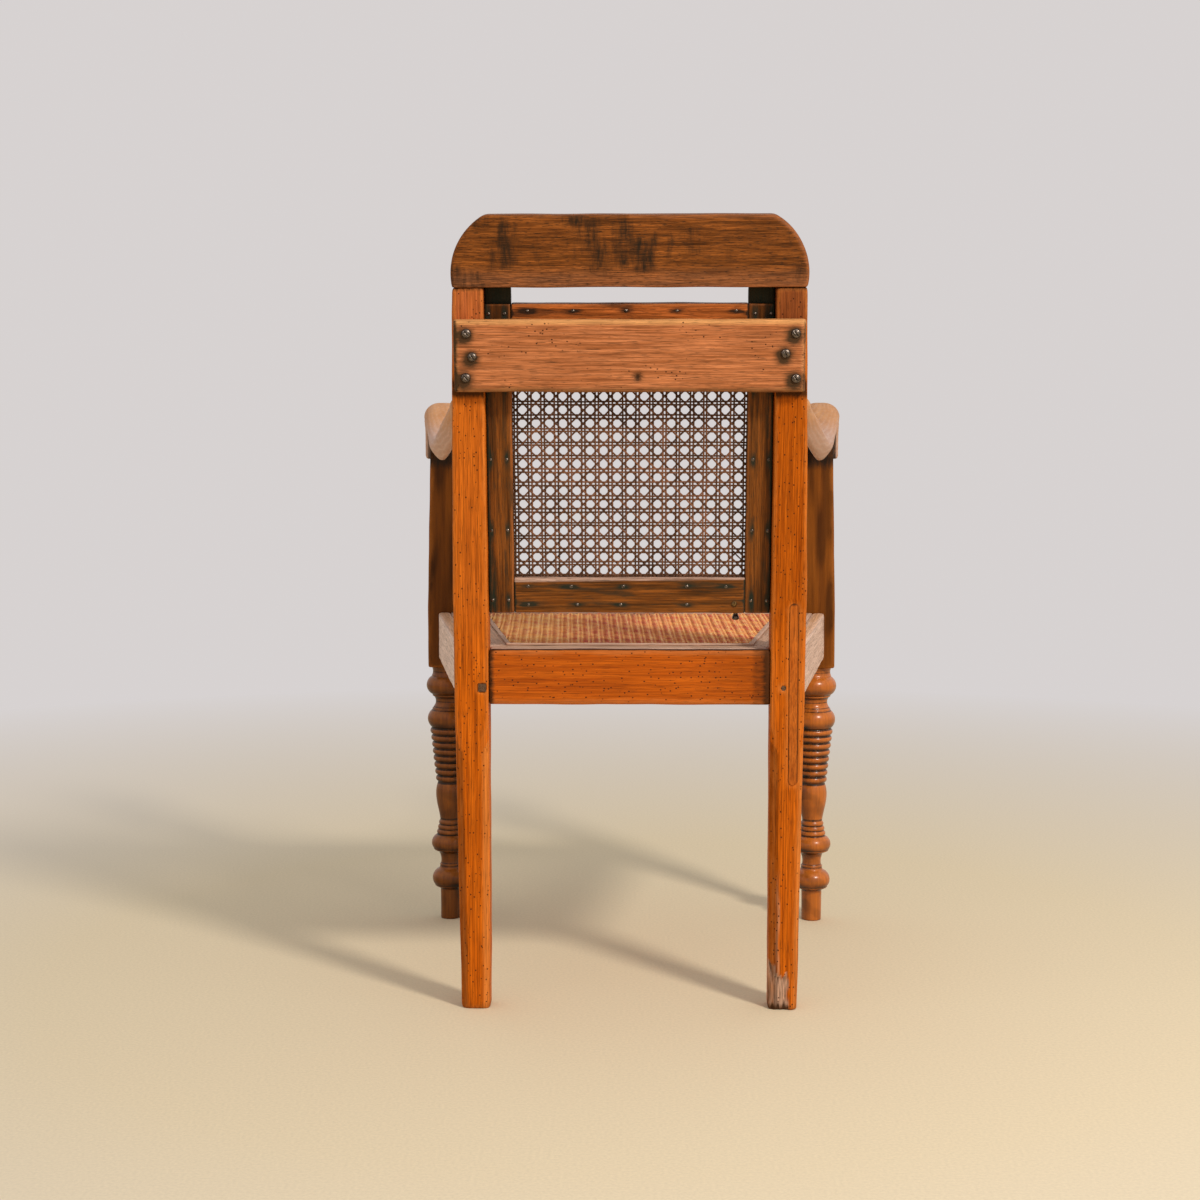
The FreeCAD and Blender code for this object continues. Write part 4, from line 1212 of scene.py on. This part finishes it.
def mended_post(points, facing):
    """The right post: broken grain at its foot, and its face made good under the let-in repair."""
    share = split_share(points) * soft_step(facing[:, 1], -0.2, 0.5)
    moved = chamfered(points, facing)
    moved[:, 1] -= split_deep * share * (0.3 + 0.7 * (1 - split_ridge(points)))
    lean = leaning(moved)
    low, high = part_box("post_patch")
    beside = np.maximum(low.x - lean[:, 0], lean[:, 0] - high.x)
    beyond = np.maximum(patch_low - lean[:, 2], lean[:, 2] - patch_high)
    outside = np.maximum(beside, beyond)
    face = post_face(moved[:, 2])
    near = (outside < patch_margin) & (moved[:, 1] > face - patch_bed)
    moved[near, 1] = face[near] - np.where(outside[near] < patch_edge, patch_sink, 0.0)
    rises = np.arange(0, slide["range_m"][1] + catch_step / 2, catch_step)
    return clear_of_bolt(moved, rises, bolt_hole_room)


def clear_of_bolt(points, rises, room):
    """Keep a piece clear of the catch's bolt and its travel, with the back raised by each rise."""
    lean = leaning(points)
    rear = sum(span("catch_bolt", rake_rear)) / 2
    low, high = span("catch_bolt", rake_up)
    radius = (high - low) / 2 + room
    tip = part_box("catch_bolt")[0].x - catch_slide["range_m"][1] - bolt_tip_room
    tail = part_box("catch_bolt")[1].x
    for rise in rises:
        aside = lean[:, 1:] - [rear, (low + high) / 2 + rise]
        away = np.maximum(np.linalg.norm(aside, axis=1), 1e-6)
        near = (away < radius) & (lean[:, 0] > tip) & (lean[:, 0] < tail)
        end = (away < radius) & (lean[:, 0] <= tip) & (lean[:, 0] > tip - bolt_hole_end)
        lean[near, 1:] += aside[near] * (radius / away[near] - 1)[:, None]
        lean[end, 1:] += aside[end] * (np.sqrt(radius / away[end]) - 1)[:, None]
        lean[end, 0] = tip - bolt_hole_end
    return upright(lean)


def bolt_way(points, facing):
    """Room for the bolt in the back's own frame."""
    return clear_of_bolt(points, [0.0], bolt_room)


def post_face(height):
    """Rear face of a post at a height: upright, then round its bend and along the rake."""
    rake = math.asin(rake_up[1])
    bent = height - (post_bend - post_bend_radius * math.tan(rake / 2))
    turn = np.clip(bent, 0, post_bend_radius * math.sin(rake))
    arc = post_bend_radius - np.sqrt(post_bend_radius ** 2 - turn ** 2)
    return leg_rear + arc + np.clip(bent - turn, 0, None) * math.tan(rake)


def patch_marks(points, facing, looks):
    """Dark joint line round the let-in repair, darker towards its lower end, and a painted shadow at its sunk
    upper end.
    """
    lean = leaning(points)
    low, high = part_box("post_patch")
    inward = np.minimum(lean[:, 0] - low.x, high.x - lean[:, 0])
    inward = np.minimum(inward, np.minimum(lean[:, 2] - patch_low, patch_high - lean[:, 2]))
    looks["wear"] *= 0.0
    looks["shade"] += 0.14 * soft_step(lean[:, 2], patch_high - 0.06, patch_low)
    looks["dirt"] += soft_step(inward, 0.0014, 0.0004)
    # Painted shadow at the sunk upper end
    looks["dirt"] += 0.6 * near_end(lean[:, 2], patch_high, 0.005, 0.002)


def rail_marks(points, facing, looks):
    """Dark ends, partly dirt and partly painted shadow in the joints with the posts and further in at the
    right, a painted shadow along the top under the seat frame, and darker towards the right.
    """
    left = 0.9 * near_end(points[:, 0], post_inner, 0.010, 0.002)
    right = 0.5 * near_end(-points[:, 0], post_inner, 0.027, 0.017)
    right = right + 0.5 * near_end(-points[:, 0], post_inner, 0.013, 0.003)
    # Dirt and painted shadow at the ends, and painted shadow along the top
    looks["dirt"] += np.maximum(left, right) + 0.9 * soft_step(facing[:, 2], 0.6, 0.95)
    looks["shade"] += 0.22 * soft_step(-points[:, 0], 0.08, 0.17)


def slat_marks(points, facing, looks):
    """Dirt round the screws, dirt and painted shade at the ends, the knot, a painted highlight along the
    upper edge and a dark lower one.
    """
    lean = leaning(points)
    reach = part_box("tie_slat")[1].x
    end = near_end(lean[:, 0], reach, 0.006, 0.002)
    other = near_end(-lean[:, 0], reach, 0.004, 0.001)
    halo = bloom(points, slat_screw_spots, wide=0.0105, tall=0.0105, shift=(0.002, -0.003))
    rear = 0.3 + 0.7 * soft_step(facing @ rake_rear, 0.1, 0.6)
    # Dirt round the screws; at the ends dirt with painted shade
    looks["dirt"] += 1.4 * halo + rear * (0.8 * end + 0.6 * other)
    looks["shade"] += bloom(points, knot_spot, wide=0.0034, tall=0.0048)
    looks["dirt"] += 0.6 * bloom(points, knot_spot, wide=0.0075, tall=0.0075)
    # Painted highlight along the upper edge
    looks["tint"] += 0.8 * near_end(lean[:, 2], slat_head, 0.0075, 0.003)
    looks["shade"] += 0.55 * soft_step(lean[:, 2], slat_foot + 0.0080, slat_foot + 0.0035)


def slat_dent(points, facing):
    """The slat's face, dented at its knot."""
    dent = bloom(points, knot_spot, wide=0.004, tall=0.005) * soft_step(facing @ rake_rear, 0.2, 0.8)
    return points - knot_deep * dent[:, None] * rake_rear


def strip_marks(points, facing, looks):
    """Upright strips: rust round the nails, dark outer edges that are partly dirt and partly painted shadow
    of the gap beside the posts, streaks, and a rubbed left inner edge.
    """
    lean = leaning(points)
    out = np.abs(lean[:, 0])
    looks["dirt"] += 0.95 * bloom(points, nail_spots, wide=0.0034, tall=0.0125)
    # Dark outer edges: dirt with painted shadow of the gap beside the posts
    looks["dirt"] += 0.95 * near_end(out, strip_outer, 0.0036, 0.0016)
    looks["dirt"] += 0.5 * soft_step(ripple(lean * [1.0, 1.0, 0.15], wave=0.016, seed=41), 0.5, 1.6)
    looks["shade"] += 0.55 * near_end(lean[:, 2], slat_head, 0.02)
    looks["shade"] += 0.4 * soft_step(lean[:, 2], sill_top + 0.02, sill_top - 0.04)
    rubbed = soft_step(lean[:, 0], strip_inner + 0.0032, strip_inner + 0.0012)
    looks["tint"] += 0.8 * rubbed * (lean[:, 0] > 0)


def band_marks(points, facing, looks):
    """Level strips: rust round the nails, dark ends and streaks."""
    out = np.abs(points[:, 0])
    looks["dirt"] += 0.95 * bloom(points, nail_spots, wide=0.0105, tall=0.0032)
    looks["dirt"] += 0.95 * near_end(out, strip_inner, 0.0030, 0.0012)
    looks["dirt"] += 0.45 * soft_step(ripple(points * [0.15, 1.0, 1.0], wave=0.014, seed=43), 0.5, 1.6)


def sill_bevel(x):
    """Height of the bottom strip's slanting edge at a place across."""
    share = (x + strip_inner) / (2 * strip_inner)
    return sill_bevel_right + (sill_bevel_left - sill_bevel_right) * np.clip(share, 0, 1)


def sill_marks(points, facing, looks):
    """A level strip's marks, with a paler slanting edge kept free of wear and dirt."""
    band_marks(points, facing, looks)
    lean = leaning(points)
    up = lean[:, 2] - (sill_top - sill_bevel(lean[:, 0]))
    looks["wear"] *= soft_step(-up, 0.0, 0.003)
    looks["raw"] += 0.8 * soft_step(up, -0.0006, 0.0006)
    looks["dirt"] *= soft_step(-up, -0.0006, 0.001)


def sill_slope(points, facing):
    """Lean the strip's upper edge back, more at the left."""
    lean = leaning(points)
    over = np.clip(lean[:, 2] - (sill_top - sill_bevel(lean[:, 0])), 0, None)
    lean[:, 1] -= np.where(lean[:, 1] > strip_rear - sill_bevel_deep, sill_bevel_slope * over, 0)
    return upright(lean)


def stile_marks(points, facing, looks):
    """Dark rear faces of the stiles behind the slat and above it: partly dirt, partly painted shade under the
    crest.
    """
    lean = leaning(points)
    rear = soft_step(facing @ rake_rear, -0.3, 0.3)
    # Dirt with painted shade under the crest
    looks["dirt"] += 1.4 * rear * near_end(lean[:, 2], slat_head, 0.02)


def crest_marks(points, facing, looks):
    """Stains, a bleached lower band, a darker right half and rubbed edges."""
    lean = leaning(points)
    share = (lean[:, 2] - crest_foot) / (crest_head - crest_foot)
    rear = soft_step(facing @ rake_rear, 0.2, 0.7)
    for x, low, high, half, strength in crest_stains:
        waver = 0.002 * np.sin(share * 9 + x * 300)
        near = np.exp(-((lean[:, 0] - x - waver) / half) ** 2)
        tall = soft_step(share, low - 0.06, low + 0.06) * soft_step(share, high + 0.05, high - 0.1)
        looks["dirt"] += 0.86 * rear * strength * near * tall
        looks["shade"] += 0.25 * rear * strength * near * tall
    looks["tint"] += 0.12 * rear * soft_step(share, 0.34, 0.1)
    looks["raw"] += 0.06 * rear * soft_step(share, 0.34, 0.1)
    looks["shade"] += 0.10 * soft_step(-lean[:, 0], 0.02, 0.09)
    looks["wear"] *= np.where(lean[:, 0] < 0, 1.0, 0.4)
    looks["dirt"] += 0.5 * looks["wear"] * (lean[:, 0] > 0.10)


def arm_marks(points, facing, looks):
    """Rings of the grain as nested curves, painted paler towards the keel as light, painted shade on the
    right arm, and shade behind the scroll.
    """
    out = np.abs(points[:, 0])
    ring = np.hypot(arm_ring_flat * (out - arm_heart), points[:, 2] - arm_heart_height)
    stray = arm_ring_stray * ripple(points, wave=0.05, seed=3)
    line = np.sin((ring + stray) * 2 * math.pi / arm_ring_step)
    low = soft_step(points[:, 2], arm_pale_from, arm_pale_to)
    looks["wear"] *= 0.0
    # Painted shade on the right arm, which the lamp lights more
    looks["shade"] += np.where(points[:, 0] < 0, 0.14, 0.0)
    # Painted light towards the keel
    looks["tint"] += 0.85 * low
    looks["raw"] += 0.36 * soft_step(line, 0.5, 1.0) * (0.4 + 0.6 * low)
    looks["dirt"] += 0.2 * soft_step(line, -0.75, -1.0)
    hollow = soft_step(points[:, 1], hollow_rear, hollow_front) * soft_step(facing[:, 1], -0.1, 0.3)
    deep = soft_step(points[:, 2], hollow_top, hollow_foot)
    looks["shade"] += 0.8 * hollow * deep * soft_step(out, hollow_outer, hollow_inner)


def leg_marks(node):
    """Marks of a front leg: dark grooves in its turnings, painted shade under and inside them with painted
    light on their tops, a stained arm post with a painted shadow under the arm, and the left leg painted
    darker than the lit right one.
    """
    rings, axis = turned_profile(node)
    reach = groove_reach
    padded = np.pad(rings[:, 0], reach, mode="edge")
    places = range(len(rings))
    above = np.array([padded[place:place + reach].max() for place in places])
    below = np.array([padded[place + reach + 1:place + 2 * reach + 1].max() for place in places])
    sunk = soft_step(np.minimum(above, below) - rings[:, 0], 0.0001, 0.0008)
    # The right leg is the lit one: its turnings are painted lighter, and the left leg's arm post is painted
    # darker as shade
    lit_leg = node.endswith("right")

    def marks(points, facing, looks):
        turned = points[:, 2] < turned_top
        level = np.interp(-points[:, 2], -rings[:, 1], sunk)
        for height in turned_fillets:
            beside = np.abs(np.abs(points[:, 2] - height) - 2 * turned_fillet_half)
            level = np.maximum(level, 0.8 * soft_step(beside, 0.0012, 0.0004))
        looks["dirt"] = np.where(turned, 0.85 * level, looks["dirt"])
        looks["wear"] = np.where(turned, 0.0, looks["wear"])
        looks["coat"] = np.where(turned, 0.6 if lit_leg else 0.35, 0.0)
        # Painted light on the right leg's turnings
        looks["raw"] += np.where(turned, 0.54 if lit_leg else 0.0, 0.0)
        # Painted shade on the turnings' undersides and inner sides, with a mottled stain over it
        inward = -facing[:, 0] * np.sign(points[:, 0])
        shade_and_mottle = 0.55 * soft_step(-facing[:, 2], 0.02, 0.6) + 0.45 * soft_step(inward, -0.2, 0.9)
        shade_and_mottle = shade_and_mottle + 0.22 * soft_step(ripple(points, wave=0.03, seed=61), 0.0, 1.4)
        # Painted light on the turnings' upward faces
        looks["tint"] += np.where(turned, 0.35 * soft_step(facing[:, 2], 0.02, 0.5), 0.0)
        looks["shade"] += np.where(turned, shade_and_mottle, 0.0)
        stain = soft_step(ripple(points * [1.0, 1.0, 0.2], wave=0.022, seed=57), -0.6, 1.0)
        # Arm post darkened by a mottled stain, and more on the left leg as painted shade
        looks["shade"] += np.where(turned, 0.0, (0.11 if lit_leg else 0.32) + 0.40 * stain)
        # Painted shadow on the arm post just under the arm
        looks["dirt"] += 0.8 * soft_step(points[:, 2], arm_shadow_low, arm_shadow_high)

    return marks


def seat_frame_marks(points, facing, looks):
    """Half bare wood, a little darkened."""
    looks["raw"] += 0.45
    looks["shade"] += 0.15


def side_rail_marks(points, facing, looks):
    """Bare wood on top and bleached sides, with the left rail's sides painted paler as light."""
    left = points[0, 0] > 0
    looks["raw"] += 0.8 * soft_step(facing[:, 2], 0.35, 0.8)
    # Painted light on the left rail's sides, which face away from the lamp
    looks["tint"] += (0.8 if left else 0.25) * soft_step(facing[:, 2], 0.8, 0.35)


worn_wood("rear_post_left", post_wood, grain_up_post, post_marks, chamfered, voxel=0.0024)
worn_wood("rear_post_right", post_wood, grain_up_post, right_post_marks, mended_post, voxel=0.0024)
worn_wood("rear_seat_rail", rail_wood, grain_across, rail_marks, voxel=0.0026)
worn_wood("post_patch", patch_wood, grain_up_rake, patch_marks,
          ease=0.1, rounding=0.0, wave=0.0, voxel=0.0008)
for node in ("front_leg_left", "front_leg_right"):
    worn_wood(node, leg_wood, grain_up, leg_marks(node), rounding=0.15, surface=leg_surface, voxel=0.0026)
worn_wood("front_seat_rail", block_wood, grain_across, voxel=0.0032)
for node in ("side_seat_rail_left", "side_seat_rail_right"):
    worn_wood(node, bleached_wood, grain_forward, side_rail_marks)
for node in ("seat_frame_rear", "seat_frame_front"):
    worn_wood(node, bleached_wood, grain_across, seat_frame_marks, voxel=0.0034)
for node in ("seat_frame_left", "seat_frame_right"):
    worn_wood(node, bleached_wood, grain_forward, seat_frame_marks, voxel=0.0034)
worn_wood("seat_binder", bleached_wood, grain_across, seat_frame_marks, voxel=0.0011)
for node in ("arm_left", "arm_right"):
    worn_wood(node, arm_wood, grain_forward, arm_marks, rounding=0.0, surface=arm_surface, voxel=0.0022)
worn_wood("tie_slat", slat_wood, grain_across_rake, slat_marks, slat_dent, voxel=0.0020)
worn_wood("crest_rail", crest_wood, grain_across_rake, crest_marks, voxel=0.0018)
for node in ("back_stile_left", "back_stile_right"):
    worn_wood(node, panel_wood, grain_up_rake, stile_marks, bolt_way)
for node in ("back_top_rail", "back_bottom_rail"):
    worn_wood(node, panel_wood, grain_across_rake, None, bolt_way)
for node in ("strip_left", "strip_right"):
    worn_wood(node, panel_wood, grain_up_rake, strip_marks, voxel=0.0015)
worn_wood("strip_bottom", panel_wood, grain_across_rake, sill_marks, sill_slope, voxel=0.0015)
worn_wood("strip_top", head_wood, grain_across_rake, band_marks, voxel=0.0016)

woven("back_cane_weave", back_strands(), lay_back, back_cane_skin, "back_cane", back_bleach)
woven("seat_cane_weave", seat_strands(), lay_seat, seat_cane_skin, "seat_cane", seat_wear_and_light)

knob_low, knob_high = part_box("catch_knob")
knob_axis = ((knob_low.x + knob_high.x) / 2, (knob_low.y + knob_high.y) / 2)
knob_rings = np.array(knob_profile)[::-1] / 1000 + [0, knob_low.z]
knob_mesh = quad_mesh("catch_knob_turned", *spun(knob_rings, knob_axis))
stand_in("catch_knob_turned", knob_mesh, dark_iron, "catch_knob")


def slotted_heads():
    """Domed screw heads with a sawn slot, on the face of the slat."""
    face = span("tie_slat", rake_rear)[1]
    tall = span("slat_screws", rake_rear)[1] - face
    half = slot_width / (2 * screw_radius)
    edge = np.array([half, half * slot_edge])
    outer = np.linspace(half * slot_edge, 1, head_columns)[1:]
    columns = np.concatenate([-outer[::-1], -edge[::-1], edge, outer])
    rows = np.linspace(-1, 1, head_rows)
    u, v = [grid.ravel() for grid in np.meshgrid(columns, rows)]
    x = u * np.sqrt(1 - v ** 2 / 2)
    y = v * np.sqrt(1 - u ** 2 / 2)
    dome = np.sqrt(np.clip(1 - x ** 2 - y ** 2, 0, 1)) * tall
    dome = np.where(np.abs(u) < half * slot_floor, np.minimum(dome, tall - slot_depth), dome)
    first = (np.arange(len(rows) - 1)[:, None] * len(columns) + np.arange(len(columns) - 1)).ravel()
    head_quads = np.stack([first, first + len(columns), first + len(columns) + 1, first + 1], axis=1)
    points, quads = [], []
    for number, (across, up) in enumerate(slat_screw_spots):
        turn = slot_turns[number % len(slot_turns)]
        aside = (x * math.cos(turn) - y * math.sin(turn)) * screw_radius
        rise = (x * math.sin(turn) + y * math.cos(turn)) * screw_radius
        points.append(upright(np.stack([across + aside, face + dome - head_sink, up + rise], axis=1)))
        quads.append(head_quads + number * len(x))
    mesh = quad_mesh("slat_screw_heads", np.concatenate(points), np.concatenate(quads))
    stand_in("slat_screw_heads", mesh, dark_iron, "slat_screws")


slotted_heads()

for node, material in (("strip_nails", dark_iron), ("rail_pegs", peg_iron), ("catch_screw", old_brass),
                       ("catch_bolt", dark_iron)):
    part = frame["nodes"][node]
    for index in range(len(part.material_slots)):
        part.material_slots[index].material = material


# Stage, light and camera


def pale_floor():
    """Wide pale floor that fades into the backdrop's colour away from the chair."""
    mesh = bpy.data.meshes.new("floor")
    ends = [(-floor_half, -floor_half, 0), (floor_half, -floor_half, 0), (floor_half, floor_half, 0),
            (-floor_half, floor_half, 0)]
    mesh.from_pydata(ends, [], [(0, 1, 2, 3)])
    floor = bpy.data.objects.new("floor", mesh)
    bpy.context.scene.collection.objects.link(floor)
    material, tree, shader, place = start_material("pale_floor")
    tuft = scaled(tree, noise(tree, place, scale=260.0), low=0.3, high=0.7, to_low=0.9, to_high=1.0)
    pile = put(tree, "ShaderNodeCombineXYZ", {0: tuft, 1: tuft, 2: tuft}).outputs[0]
    feed(tree, shader, {
        "Base Color": mixed(tree, 1.0, floor_colour, pile, "MULTIPLY"),
        "Roughness": 0.9,
        "Specular IOR Level": 0.1,
    })
    away = put(tree, "ShaderNodeVectorMath", {0: place}, operation="LENGTH").outputs["Value"]
    fade = scaled(tree, away, fade_near, fade_far)
    seen = put(tree, "ShaderNodeLightPath").outputs["Is Camera Ray"]
    glow = put(tree, "ShaderNodeEmission", {"Color": opaque(backdrop_colour)})
    share = product(tree, fade, seen)
    both = put(tree, "ShaderNodeMixShader", {0: share, 1: shader.outputs[0], 2: glow.outputs[0]})
    feed(tree, tree.nodes["Material Output"], {"Surface": both.outputs[0]})
    mesh.materials.append(material)


def light():
    lamp = bpy.data.lights.new("key", "AREA")
    lamp.shape = "DISK"
    lamp.size = key_size
    lamp.energy = key_power
    lamp.color = key_colour
    key = bpy.data.objects.new("key", lamp)
    key.location = key_place
    key.rotation_euler = (Vector(key_aim) - Vector(key_place)).to_track_quat("-Z", "Y").to_euler()
    bpy.context.scene.collection.objects.link(key)
    world = bpy.data.worlds.new("room")
    bpy.context.scene.world = world
    world.use_nodes = True
    tree = world.node_tree
    path = put(tree, "ShaderNodeLightPath").outputs
    seen = reckoned(tree, "MAXIMUM", path["Is Camera Ray"], path["Is Glossy Ray"])
    seen = reckoned(tree, "MAXIMUM", seen, path["Is Transmission Ray"])
    fill = put(tree, "ShaderNodeBackground", {"Color": opaque(fill_colour), "Strength": fill_strength})
    backdrop = put(tree, "ShaderNodeBackground", {"Color": opaque(backdrop_colour), "Strength": 1.0})
    both = put(tree, "ShaderNodeMixShader", {0: seen, 1: fill.outputs[0], 2: backdrop.outputs[0]})
    feed(tree, tree.nodes["World Output"], {"Surface": both.outputs[0]})


def camera():
    lens = bpy.data.cameras.new("camera")
    lens.sensor_width = sensor
    lens.lens = camera_lens
    eye = bpy.data.objects.new("camera", lens)
    eye.location = camera_place
    eye.rotation_euler = Vector(camera_aim).to_track_quat("-Z", "Y").to_euler()
    bpy.context.scene.collection.objects.link(eye)
    bpy.context.scene.camera = eye


pale_floor()
light()
camera()
bpy.context.scene.view_settings.view_transform = "Standard"
